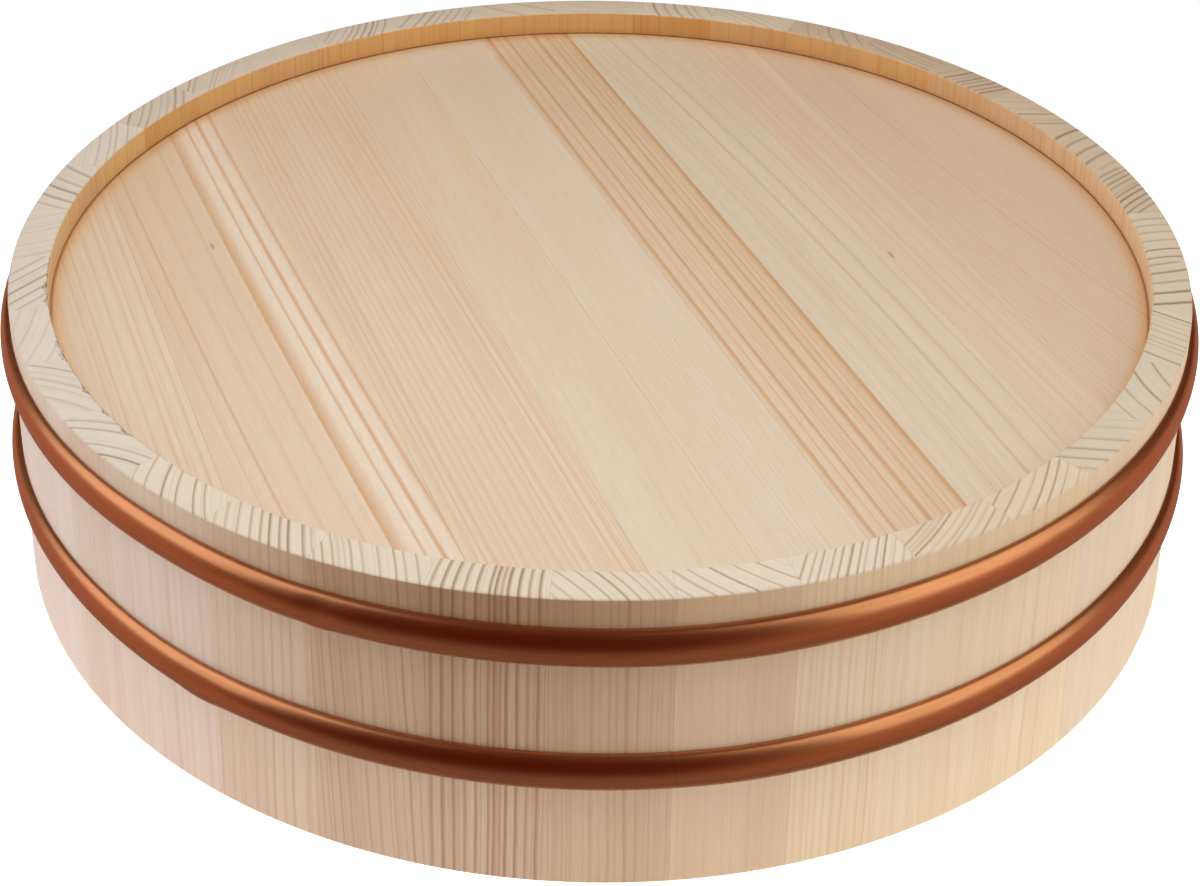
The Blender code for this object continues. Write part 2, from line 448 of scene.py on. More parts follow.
    def copies(self, points: Expr, shape: Expr, turn: Expr) -> Expr:
        """Stand a copy of a shape at each point, turned, and make the copies real.

        Args:
            points: The points.
            shape: What is copied.
            turn: Each copy's turn, in radians.

        Returns:
            The copies as one geometry.
        """
        inputs = {"Points": points, "Instance": shape, "Rotation": turn}
        made = self.take(self.node("GeometryNodeInstanceOnPoints", None, inputs))
        return self.take(self.node("GeometryNodeRealizeInstances", None, {0: made}))

    def finish(self, shape: Expr) -> None:
        """Shade the shape smooth but for its sharp edges, and end the tree with its material.

        Args:
            shape: The geometry.
        """
        smooth = self.take(self.node("GeometryNodeSetShadeSmooth", None, {"Geometry": shape}))
        angle = self.take(self.node("GeometryNodeInputMeshEdgeAngle"), "Unsigned Angle")
        inputs = {
            "Geometry": smooth,
            "Selection": angle.above(math.radians(self.SHARP_DEGREES)),
            "Shade Smooth": False,
        }
        crisp = self.take(self.node("GeometryNodeSetShadeSmooth", {"domain": "EDGE"}, inputs))
        real = self.take(self.node("GeometryNodeRealizeInstances", None, {0: crisp}))
        self.socket("Material", "NodeSocketMaterial")
        inputs = {"Geometry": real, "Material": self.take(self.entry, "Material")}
        dressed = self.take(self.node("GeometryNodeSetMaterial", None, inputs))
        self.node("NodeGroupOutput", None, {"Geometry": dressed})

    def run(
        self, name: str, source: bpy.types.Mesh, material: bpy.types.Material
    ) -> bpy.types.Mesh:
        """Run the tree on a mesh and keep the result as a plain mesh.

        Args:
            name: The result's name.
            source: The mesh that goes in.
            material: What the result is made of.

        Returns:
            The plain mesh.
        """
        carrier = bpy.data.objects.new(f"{name} maker", source)
        bpy.context.scene.collection.objects.link(carrier)
        modifier = carrier.modifiers.new(name, "NODES")
        modifier.node_group = self.tree
        for identifier, value in self.values.items():
            modifier[identifier] = value
        for item in self.tree.interface.items_tree:
            if item.socket_type == "NodeSocketMaterial":
                modifier[item.identifier] = material
        graph = bpy.context.evaluated_depsgraph_get()
        made = bpy.data.meshes.new_from_object(carrier.evaluated_get(graph), depsgraph=graph)
        made.name = name
        carrier.modifiers.clear()
        bpy.data.objects.remove(carrier)
        return made


@dataclass(frozen=True)
class Band:
    """A dark late-wood line.

    Attributes:
        place: Where it is darkest, in millimetres across the rings.
        left: How far it fades out to the left.
        right: How far it fades out to the right.
        strength: How dark it is, up to one.
    """

    place: float
    left: float
    right: float
    strength: float


class Shade(Graph):
    """A material under construction, with the textures that its finish is made of."""

    STOPS_IN_RAMP = 27
    MARGIN_MM = 1.0

    def __init__(self, name: str) -> None:
        """Start a material.

        Args:
            name: The material's name.
        """
        self.material = bpy.data.materials.new(name)
        self.material.use_nodes = True
        super().__init__(self.material.node_tree)

    def place(self) -> Expr:
        """Object coordinates, which are the row's frame because each piece sits at the origin."""
        return self.take(self.node("ShaderNodeTexCoord"), "Object")

    def turned_place(self, degrees: float) -> Expr:
        """Object coordinates turned about the tub's axis, in millimetres.

        Args:
            degrees: The turn.

        Returns:
            The coordinates.
        """
        inputs = {
            "Vector": self.place(),
            "Rotation": (0.0, 0.0, math.radians(degrees)),
            "Scale": (MM, MM, MM),
        }
        return self.take(self.node("ShaderNodeMapping", None, inputs))

    def attribute(self, name: str) -> Expr:
        """A vector that the mesh keeps under a name."""
        return self.take(self.node("ShaderNodeAttribute", {"attribute_name": name}), "Vector")

    def facing(self) -> Expr:
        """The surface's own direction, in the row's frame."""
        return self.take(self.node("ShaderNodeTexCoord"), "Normal")

    def noise(
        self, where: Expr, scale: float = 1.0, detail: float = 2.0, rough: float = 0.5
    ) -> Expr:
        """Soft noise round 0.5 over a place, by its cells per unit, octaves and roughness."""
        inputs = {"Vector": where, "Scale": scale, "Detail": detail, "Roughness": rough}
        return self.take(self.node("ShaderNodeTexNoise", None, inputs), 0)

    def noise_along(self, value: Expr, detail: float = 0.0) -> Expr:
        """Soft noise round 0.5 along one number."""
        inputs = {"W": value, "Scale": 1.0, "Detail": detail}
        return self.take(self.node("ShaderNodeTexNoise", {"noise_dimensions": "1D"}, inputs), 0)

    def lot(self, value: Expr) -> Expr:
        """A random number from zero to one for each value."""
        made = self.node("ShaderNodeTexWhiteNoise", {"noise_dimensions": "1D"}, {"W": value})
        return self.take(made, "Value")

    def ramp(self, value: Expr, stops: list[tuple[float, float]]) -> Expr:
        """A curve of straight pieces through stops, which lie from zero to one.

        Args:
            value: What is looked up.
            stops: Pairs of place and result, in order.

        Returns:
            The result.
        """
        made = self.node("ShaderNodeValToRGB", None, {"Fac": value})
        elements = made.color_ramp.elements
        while len(elements) > 1:
            elements.remove(elements[-1])
        elements[0].position, level = stops[0]
        elements[0].color = (level, level, level, 1.0)
        for position, level in stops[1:]:
            elements.new(position).color = (level, level, level, 1.0)
        return self.take(made, "Color")

    def lines(self, value: Expr, bands: list[Band]) -> Expr:
        """Lines at their own places along a number, each with its own fades.

        Args:
            value: Place across the rings, in millimetres.
            bands: The lines.

        Returns:
            Their strength, from zero to one.
        """
        low = min(band.place - band.left for band in bands) - self.MARGIN_MM
        high = max(band.place + band.right for band in bands) + self.MARGIN_MM
        look_up = self.stretch(value, low, high)
        groups = [[(0.0, 0.0)]]
        for band in sorted(bands, key=lambda b: b.place):
            if len(groups[-1]) >= self.STOPS_IN_RAMP:
                groups.append([(0.0, 0.0)])
            for offset, level in ((-band.left, 0.0), (0.0, band.strength), (band.right, 0.0)):
                position = (band.place + offset - low) / (high - low)
                groups[-1].append((max(position, groups[-1][-1][0]), level))
        strength, *others = [self.ramp(look_up, group) for group in groups]
        for other in others:
            strength = strength.most(other)
        return strength

    def relief(self, height: Expr, depth_mm: float, strength: float = 1.0) -> Expr:
        """A normal bumped by a height from zero to one, at its full depth."""
        inputs = {"Height": height, "Distance": depth_mm / MM, "Strength": strength}
        return self.take(self.node("ShaderNodeBump", None, inputs))

    def surface(self, **inputs: object) -> bpy.types.Material:
        """Finish the material with a Principled shader.

        Args:
            **inputs: Socket names with their spaces left out, and their values or links.

        Returns:
            The material.
        """
        shader = self.node("ShaderNodeBsdfPrincipled")
        for name, value in inputs.items():
            socket = [s for s in shader.inputs if s.name.replace(" ", "") == name][0]
            self.feed(socket, opaque(value) if socket.type == "RGBA" else value)
        output = self.node("ShaderNodeOutputMaterial")
        self.tree.links.new(shader.outputs[0], output.inputs["Surface"])
        return self.material


@dataclass(frozen=True)
class TubSizes:
    """Sizes that the wall, the base and the hoops share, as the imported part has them.

    The wall leans in a little from the mouth, at height zero, up to the foot.
    """

    height: float = 0.0835
    mouth_radius: float = 0.165
    foot_radius: float = 0.1616
    wall: float = 0.0105
    recess: float = 0.0075
    base_thickness: float = 0.012
    groove_depth: float = 0.004
    bevel_drop: float = 0.001
    bevel_shows: float = 0.0005
    seat_gap: float = 0.0003

    def outer(self, z: float) -> float:
        """Radius of the wall's outside at a height."""
        return self.mouth_radius + (self.foot_radius - self.mouth_radius) * z / self.height

    def inner(self, z: float) -> float:
        """Radius of the wall's inside at a height."""
        return self.outer(z) - self.wall

    @property
    def base_top(self) -> float:
        """Height of the base's underside, which faces up here."""
        return self.height - self.recess

    @property
    def base_bottom(self) -> float:
        """Height of the base's inner face."""
        return self.base_top - self.base_thickness

    @property
    def groove_radius(self) -> float:
        """Radius of the groove's bottom."""
        return self.inner((self.base_top + self.base_bottom) / 2) + self.groove_depth

    @property
    def base_radius(self) -> float:
        """Radius of the base's rim, inside the groove."""
        return self.groove_radius - self.seat_gap


@dataclass(frozen=True)
class StaveGrain:
    """How one stave was sawn from its log, as its end grain shows it.

    Attributes:
        slant: Degrees by which the rings rise, seen with the outside up and angles to the right.
        bend: How fast the rings curve, per millimetre; above zero they are hollow outwards.
        sides: Strength of the lines on the wall, next to that on the end grain.
        tone: Colours of the side grain.
        end: Colours of the end grain.
        rings: The rings, each as its place in millimetres from the stave's middle, taken square
            to the rings, and its strength.
        lean: How far the lines lean over the height.
        width: Width of the lines, next to the usual one.
        torn: Torn fibre along the rim's inner edge, each as its place in millimetres across the
            stave and half its length.
    """

    slant: float
    bend: float
    sides: float
    tone: Tone
    end: EndTone
    rings: tuple[tuple[float, float], ...]
    lean: float = 0.0
    width: float = 1.0
    torn: tuple[tuple[float, float], ...] = ()


# A scratch program that measured the photograph's rim wrote most of these rows: the slants,
# the bends and most of the rings. The widths, the torn marks and the rest were set one by one.
STAVE_GRAINS = (
    StaveGrain(55, 0.02, 0.3, Tone.YELLOWISH, EndTone.SAND, width=1.5, rings=(
        (-10.6, 0.65), (-8.4, 0.65), (-6, 0.75), (-3.8, 0.65), (-1.4, 0.35), (0.1, 0.75), (2.3, 1),
        (4.9, 0.9), (7.3, 0.75), (9.7, 0.65),
    )),
    StaveGrain(68, 0.0345, 0.3, Tone.YELLOWISH, EndTone.SAND, width=2.0, rings=(
        (-10.4, 1), (-4.8, 0.6), (0.6, 0.7), (5.8, 0.7), (11.2, 0.3),
    )),
    StaveGrain(-59, 0.02, 0.3, Tone.PALE, EndTone.SAND, width=1.4, rings=(
        (-8.3, 0.6), (-5.9, 0.3), (-1.8, 0.8), (2.2, 0.2), (6.7, 0.3), (10.1, 0.2),
    )),
    StaveGrain(-70.5, 0.0175, 0.3, Tone.PALE, EndTone.AMBER, width=1.5, rings=(
        (-9.7, 1), (-7.3, 0.7), (-4.6, 0.85), (-1.9, 0.5), (0.2, 0.85), (2.3, 0.35), (4.9, 1),
        (8.2, 0.35),
    )),
    StaveGrain(10, 0.015, 0.3, Tone.YELLOWISH, EndTone.AMBER, width=1.15, rings=(
        (-5, 0.2), (-3.5, 0.4), (-1, 0.3), (0.8, 0.3), (3.6, 0.4),
    )),
    StaveGrain(57.5, 0.04, 0.3, Tone.PALE, EndTone.AMBER, width=1.4, rings=(
        (-7.4, 0.3), (-3.7, 0.2), (-0.2, 0.5), (4.3, 0.5), (8.5, 0.4),
    )),
    StaveGrain(28, 0.005, 0.3, Tone.PINKISH, EndTone.STRAW, width=1.15, rings=(
        (-7.7, 0.1), (-5.8, 0.3), (-3.4, 0.3), (-0.7, 0.4), (1.7, 0.2), (4.2, 0.2),
    )),
    StaveGrain(67.5, 0.04, 0.3, Tone.WARM, EndTone.STRAW, width=1.8, rings=(
        (-10.6, 0.1), (-6.2, 0.7), (-2.5, 0.5), (1, 0.6), (4.7, 0.5), (7.3, 0.3), (11.6, 0.3),
    )),
    StaveGrain(8.5, 0.0495, 0.3, Tone.PALE, EndTone.STRAW, width=1.15, rings=(
        (-5.5, 0.1), (-1.3, 0.2), (3.5, 0.2),
    )),
    StaveGrain(34, 0.015, 0.3, Tone.PALE, EndTone.STRAW, width=1.6, rings=(
        (-8.4, 0.1), (-2.8, 0.4), (4.4, 0.5),
    )),
    StaveGrain(-52.5, 0.017, 0.3, Tone.YELLOWISH, EndTone.OAT, width=1.4, rings=(
        (-10.7, 0.5), (-9, 0.2), (-6.8, 0.5), (-4.2, 0.5), (-1.7, 0.5), (0.8, 0.65), (3.8, 0.65),
        (7.9, 0.5),
    )),
    StaveGrain(-52, 0.025, 0.3, Tone.PALE, EndTone.OAT, width=1.15, rings=(
        (-8.5, 0.65), (-6, 0.5), (-4.4, 0.8), (-2.3, 0.8), (0, 0.65), (1.9, 0.5), (4, 0.3),
        (6.8, 0.3), (8.6, 0.5),
    )),
    StaveGrain(-75, 0, 0.3, Tone.PINKISH, EndTone.OAT, width=1.15, rings=(
        (-6.0, 0.15), (5, 0.15),
    )),
    StaveGrain(-38, 0.0025, 0.3, Tone.PALE, EndTone.OAT, width=1.15, rings=(
        (-8.9, 0.15), (-4.2, 0.15), (-1.1, 0.15), (0.2, 0.3), (1.6, 0.3), (6.6, 0.5), (8.2, 0.65),
    )),
    StaveGrain(-33.5, 0.015, 0.3, Tone.WARM, EndTone.OAT, width=1.4, rings=(
        (-8, 0.6), (-5.4, 0.7), (-3.1, 0.3), (-1, 0.3), (1.9, 0.5), (4.2, 0.4), (7.8, 0.7),
    )),
    StaveGrain(-24.5, 0.0105, 0.3, Tone.PALE, EndTone.PEARL, width=1.15, rings=(
        (-6.1, 0.5), (-2.8, 0.5), (-1.1, 0.3), (1.9, 0.3), (5.6, 0.2),
    )),
    StaveGrain(-64.5, -0.015, 0.3, Tone.PINKISH, EndTone.PEARL, width=2.2, rings=(
        (-8.2, 0.6), (-2, 0.4), (2.3, 0.8), (7.2, 0.7), (11.6, 0.4),
    )),
    StaveGrain(66, 0.015, 0.3, Tone.ROSE, EndTone.PEARL, width=1.5, rings=(
        (-12, 0.3), (-8.6, 0.1), (-5.5, 0.2), (-1.8, 0.1), (1.1, 0.2), (3.5, 0.2), (5.3, 0.1),
        (9.1, 0.2),
    )),
    StaveGrain(45.5, 0.0075, 0.05, Tone.ROSE, EndTone.PEARL, width=1.35,
               torn=((3.6, 5.0), (11.0, 3.0)), rings=(
        (-8.3, 0.5), (-4.6, 0.7), (-0.6, 0.9), (3.6, 0.5), (7.1, 0.5),
    )),
    StaveGrain(23, 0.015, 0.05, Tone.ROSE, EndTone.ASH, width=1.15,
               torn=((7.0, 3.2), (13.0, 4.4)), rings=(
        (-6.8, 0.2), (-2.2, 0.2), (2.5, 0.3), (6.5, 0.1),
    )),
    StaveGrain(-37.5, 0.022, 0.1, Tone.ROSE, EndTone.ASH, width=1.2,
               torn=((-13.6, 1.8), (4.0, 3.6)), rings=(
        (-7.3, 0.6), (-4.4, 0.2), (-1.7, 0.4), (1.1, 0.2), (5, 0.4),
    )),
    StaveGrain(-32.5, 0.0275, 0.2, Tone.PINKISH, EndTone.ASH, width=1.5,
               torn=((-11.6, 3.0), (-1.0, 3.4)), rings=(
        (-6.4, 0.5), (-3.1, 0.6), (2.9, 0.4), (6.4, 0.9),
    )),
    StaveGrain(49, -0.01, 0.35, Tone.PINKISH, EndTone.IVORY, rings=(
        (-6.4, 0.6), (-3.8, 0.8), (0.4, 0.7), (3.8, 0.9), (8.4, 0.5), (11.8, 0.4),
    )),
    StaveGrain(55.5, 0.0025, 0.35, Tone.FAWN, EndTone.IVORY, lean=0.02, width=1.2, rings=(
        (-10.2, 0.4), (-8.2, 0.8), (-4.8, 1), (-2.8, 0.8), (-0.4, 0.9), (1.7, 0.7), (4.1, 0.6),
        (7.2, 0.5), (10.1, 0.4), (12.6, 0.3),
    )),
    StaveGrain(60.5, 0.015, 0.75, Tone.BROWN, EndTone.IVORY, lean=-0.03, rings=(
        (-10, 0.6), (-7.1, 0.5), (-4.9, 0.6), (-1.3, 0.5), (2.5, 0.4), (4.9, 0.6), (6.4, 0.3),
        (7.7, 0.3), (9.1, 0.6), (11.4, 0.7), (13.4, 0.5),
    )),
    StaveGrain(89, -0.015, 0.9, Tone.BROWNISH, EndTone.IVORY, lean=0.012, width=1.5, rings=(
        (-11.8, 0.9), (-9.4, 0.7), (-7, 1), (-4.6, 1), (-3.2, 0.7), (-1.8, 1), (-0.5, 0.9),
        (2.5, 0.8), (5.2, 0.7), (7.8, 0.9), (10.4, 0.9), (13.1, 0.6),
    )),
    StaveGrain(53, 0.022, 0.6, Tone.TAN, EndTone.IVORY, rings=(
        (-11.3, 0.3), (-9.1, 0.4), (-7.3, 0.3), (-5.2, 0.5), (-2.4, 0.6), (0.1, 0.9), (3.4, 0.6),
        (6.8, 0.6), (10.4, 0.5), (13, 0.4),
    )),
    StaveGrain(47, -0.005, 0.2, Tone.WARM, EndTone.IVORY, rings=(
        (-7.8, 0.6), (-3.6, 0.5), (0.7, 0.9), (4.8, 0.5), (7.7, 0.6), (11.5, 0.5),
    )),
    StaveGrain(-55.5, 0.005, 0.4, Tone.YELLOWISH, EndTone.IVORY, rings=(
        (-10, 0.7), (-7.9, 0.5), (-6.1, 0.7), (-3.7, 0.6), (-1.9, 0.7), (0.2, 0.9), (2.2, 0.7),
        (3.6, 0.4), (5.8, 0.7), (7.6, 0.9), (9.8, 0.4), (12, 0.5), (13.9, 0.4),
    )),
    StaveGrain(-28.5, -0.0025, 0.25, Tone.YELLOWISH, EndTone.HONEY, rings=(
        (-6.1, 0.6), (-4.8, 0.3), (-3.5, 0.4), (-2.3, 0.8), (-0.4, 0.2), (1.6, 0.4), (2.8, 0.4),
        (4.6, 0.2), (6.7, 0.6), (9.2, 0.5), (10.6, 0.4),
    )),
    StaveGrain(-27.5, 0, 0.3, Tone.YELLOWISH, EndTone.HONEY, rings=(
        (-7.8, 0.6), (-4.4, 0.7), (-1.3, 0.4), (1.3, 0.8), (3.6, 0.6), (5.8, 0.4), (8.7, 0.4),
    )),
    StaveGrain(54.5, 0.0075, 0.2, Tone.PALE, EndTone.WHEAT, width=1.8, rings=(
        (-6.1, 0.2), (-0.7, 0.5), (4, 0.6), (8.2, 0.6), (12.4, 0.4),
    )),
    StaveGrain(-45.5, 0.0275, 0.2, Tone.PALE, EndTone.WHEAT, width=1.15, rings=(
        (-10.1, 0.5), (-4.6, 0.6), (1, 0.9), (7.1, 0.7),
    )),
    StaveGrain(-70.5, 0.01, 0.1, Tone.YELLOWISH, EndTone.WHEAT, width=1.15, rings=(
        (-10.3, 0.9), (-5.8, 0.25), (-3.7, 0.5), (-1.6, 0.5), (1.6, 0.4), (4.2, 0.4), (6.4, 0.25),
        (9, 0.4), (10.7, 1),
    )),
    StaveGrain(68.5, -0.0025, 0.1, Tone.YELLOWISH, EndTone.STRAW, width=2.0, rings=(
        (-11.9, 0.6), (-7.3, 0.8), (-2, 0.5), (3.4, 1), (9.1, 1),
    )),
    StaveGrain(80, 0.04, 0.15, Tone.YELLOWISH, EndTone.STRAW, width=1.6, rings=(
        (-10.4, 0.5), (-6.5, 0.5), (-2.5, 0.5), (2.3, 0.4), (7.4, 0.9), (11.8, 0.8),
    )),
)


@dataclass(frozen=True)
class StavePoint:
    """A point of a stave in a material under construction, in millimetres.

    Attributes:
        shade: The material.
        across: Place across the stave, from its middle.
        depth: Place through the wall, from its middle.
        height: Height above the mouth rim.
        place: The point with the stave's own chance in it, for textures.
    """

    shade: Shade
    across: Expr
    depth: Expr
    height: Expr
    place: Expr


@dataclass(frozen=True)
class StaveWood:
    """Sanded conifer wood whose rings run through a stave in three dimensions.

    The rings come from the place that the wall's tree keeps on the mesh, so that end grain and
    side grain agree. Multiples of the seed move the textures to places of the stave's own.

    Attributes:
        sizes: Sizes that the tub's sub-assemblies share.
        grain: How the stave was sawn.
        seed: Sets the stave's own pattern of chance.
        turn: Angle of the stave's middle, in degrees.
        recess_tint: Painted light and shade that tint the wall above the base.
        soft_mm: How far a line fades out towards the heart of the tree.
        crisp_mm: How far it fades out towards the bark.
        jitter_mm: How ragged the lines are.
        end_depth: How dark the strongest line of the end grain is.
        torn_colour: Colour of torn fibre.
        roughness: Roughness of the sanded wood.
    """

    sizes: TubSizes
    grain: StaveGrain
    seed: float
    turn: float
    recess_tint: Colour
    soft_mm: float = 0.62
    crisp_mm: float = 0.3
    jitter_mm: float = 0.3
    end_depth: float = 0.9
    torn_colour: Colour = paint(128, 76, 50)
    roughness: float = 0.58

    END_FACING = (0.35, 0.8)
    WOBBLE_PER_MM = 0.03
    MOST_WOBBLE_MM = 1.4
    EDGE_MM = 5.0
    TEAR_MM = 1.5
    INSIDE_DEPTH = -0.45
    RECESS_MARGIN = 0.001
    SHADED_MARGIN = 0.002
    SHADED_FADE_MM = 2.5
    # Painted shade on the outside of the wall, between the hoops and above the foot hoop, deepest
    # round DARKEST_TURN on the camera's side.
    BELT_MM = (34.0, 36.0)
    BELT_SHADE_FRONT = (0.875, 0.83, 0.76)
    BELT_REACH = 24.0
    SHADED_FRONT = (0.69, 0.59, 0.46)
    SHADED_SIDES = (0.98, 0.93, 0.85)
    SHADED_REACH = 30.0
    DARKEST_TURN = 260.0

    def material(self, name: str) -> bpy.types.Material:
        """Build the wood's material.

        Args:
            name: The material's name.

        Returns:
            The material, which reads the place that the wall's tree writes.
        """
        shade = Shade(name)
        across, depth, height = shade.separate(shade.attribute("grain_place"))
        place = shade.combine(across + self.seed * 91.0, depth, height * 0.05)
        at = StavePoint(shade, across, depth, height, place)
        ring = self.ring(at)
        width = self.grain.width
        bands = [
            Band(where, self.soft_mm * width, self.crisp_mm * width, strength)
            for where, strength in self.grain.rings
        ]
        line = shade.lines(ring, bands)
        faint = shade.noise_along(ring * 1.3 + self.seed * 17.0, 3.0)
        is_end = abs(shade.separate(shade.facing())[2]).rise(*self.END_FACING)
        fibre_place = shade.combine(across * 3.4, depth * 3.4, height * 0.1 + self.seed * 7.0)
        fibre = shade.noise(fibre_place, 1.0, 3.0, 0.6)
        pores = shade.noise(place, 3.2, 3.0, 0.65)
        end = self.with_torn_fibre(at, self.end_grain(at, line, faint, pores))
        side = self.side_grain(at, line, faint, fibre)
        shown = line * (is_end + (1 - is_end) * self.grain.sides)
        texture = fibre * (1 - is_end) + pores * is_end
        return shade.surface(
            BaseColor=shade.blend(is_end, side, end),
            Roughness=self.roughness + (texture - 0.5) * 0.16 - shown * 0.08,
            Normal=shade.relief(texture * 0.7 - shown * 0.5, 0.05, 0.5),
            SpecularIORLevel=0.3,
        )

    def ring(self, at: StavePoint) -> Expr:
        """Place of a point square to the rings.

        Args:
            at: The point.

        Returns:
            The place, in millimetres.
        """
        slant = math.radians(self.grain.slant)
        along = at.across * math.cos(slant) + at.depth * math.sin(slant)
        outward = at.depth * math.cos(slant) - at.across * math.sin(slant)
        below = self.sizes.height * MM - at.height
        drift_place = at.shade.combine(at.across * 0.05, self.seed * 3.0, below * 0.022)
        drift = at.shade.noise(drift_place, 1.0, 2.0)
        wobble = (drift - 0.5) * (below * self.WOBBLE_PER_MM).least(self.MOST_WOBBLE_MM)
        serration = (at.shade.noise(at.place, 2.4, 2.0) - 0.5) * self.jitter_mm
        bent = outward - along * along * (self.grain.bend / 2)
        return bent + wobble + serration - below * self.grain.lean

    def end_grain(self, at: StavePoint, line: Expr, faint: Expr, pores: Expr) -> Expr:
        """Colour of the end grain: pale, finely pitted, with thin dark rings.

        Args:
            at: The point.
            line: Strength of the ring line.
            faint: Chance that runs along the rings.
            pores: Fine pits.

        Returns:
            The colour.
        """
        base, ink = self.grain.end.value
        cloud = at.shade.noise(at.place, 0.12, 2.0).rise(0.25, 0.75)
        tone = at.shade.blend(cloud * 0.4, base, scaled(base, 0.9))
        tone = at.shade.blend(faint.rise(0.5, 0.8) * 0.16, tone, ink)
        tone = at.shade.blend(pores.rise(0.58, 0.8) * 0.2, tone, ink)
        return at.shade.blend(line * self.end_depth, tone, ink)

    def with_torn_fibre(self, at: StavePoint, colour: Expr) -> Expr:
        """Add ragged dark marks where the plane tore the rim's inner edge.

        Args:
            at: The point.
            colour: The colour so far.

        Returns:
            The colour with its torn marks.
        """
        ragged_place = at.shade.combine(at.across * 0.5, at.depth * 2.2, self.seed)
        ragged = at.shade.noise(ragged_place, 1.0, 3.0, 0.7)
        for where, half in self.grain.torn:
            reach = (1.0 - abs(at.across - where) / half).most(0.0) * self.TEAR_MM
            inner = (at.depth + self.EDGE_MM) - reach * ragged * 1.4
            mark = inner.rise(0.25, -0.1) * ragged.rise(0.36, 0.6)
            colour = at.shade.blend(mark * 0.75, colour, self.torn_colour)
        return colour

    def side_grain(self, at: StavePoint, line: Expr, faint: Expr, fibre: Expr) -> Expr:
        """Colour of the side grain: the stave's tone, its lines and a fine fibre, with painted
        light and shade on the recess and the outside.

        Args:
            at: The point.
            line: Strength of the ring line.
            faint: Chance that runs along the rings.
            fibre: Fine fibre.

        Returns:
            The colour.
        """
        shade, sides = at.shade, self.grain.sides
        tone, late = self.grain.tone.value
        broad_place = shade.combine(at.across * 0.11 + self.seed * 5.0, at.depth, at.height * 0.008)
        broad = shade.noise(broad_place, 1.0, 2.0).rise(0.3, 0.75)
        base = shade.blend(broad * 0.16, tone, late)
        base = shade.blend(fibre.rise(0.35, 0.75) * 0.16, base, late)
        base = shade.blend(faint.rise(0.5, 0.75) * (0.1 + sides * 0.3), base, late)
        base = shade.blend(line * sides, base, late)
        inside = at.depth.below(self.INSIDE_DEPTH * self.sizes.wall * MM)
        recess = inside * at.height.above((self.sizes.base_top - self.RECESS_MARGIN) * MM)
        streak = shade.noise(shade.combine(at.across * 0.9, self.seed * 3.7, 0.0), 1.0, 2.0)
        base = shade.blend(recess * streak.rise(0.5, 0.75) * 0.5, base, late)
        # The recess tint paints light and shade on the wall above the base.
        base = shade.blend(recess, base, self.recess_tint, "MULTIPLY")
        return self.with_shading(at, base, 1 - inside)

    def with_shading(self, at: StavePoint, colour: Expr, outside: Expr) -> Expr:
        """Paint shade on the outside above and between the hoops, deepest towards the camera.

        Args:
            at: The point.
            colour: The colour so far.
            outside: One on the outside of the wall.

        Returns:
            The colour with its shading.
        """
        shade = at.shade
        radius_mm = (self.sizes.mouth_radius + self.sizes.foot_radius) * MM / 2
        turn = at.across * (1.0 / math.radians(radius_mm)) + self.turn
        top = (self.sizes.base_top - self.SHADED_MARGIN) * MM
        belt_shade = outside * at.height.rise(*self.BELT_MM) * at.height.below(top)
        near = turn.bump(self.DARKEST_TURN, self.BELT_REACH)
        tint = shade.blend(near, (1.0, 1.0, 1.0), self.BELT_SHADE_FRONT)
        colour = shade.blend(belt_shade, colour, tint, "MULTIPLY")
        near = turn.bump(self.DARKEST_TURN, self.SHADED_REACH)
        tint = shade.blend(near, self.SHADED_SIDES, self.SHADED_FRONT)
        shaded = outside * at.height.rise(top, top + self.SHADED_FADE_MM)
        return shade.blend(shaded, colour, tint, "MULTIPLY")


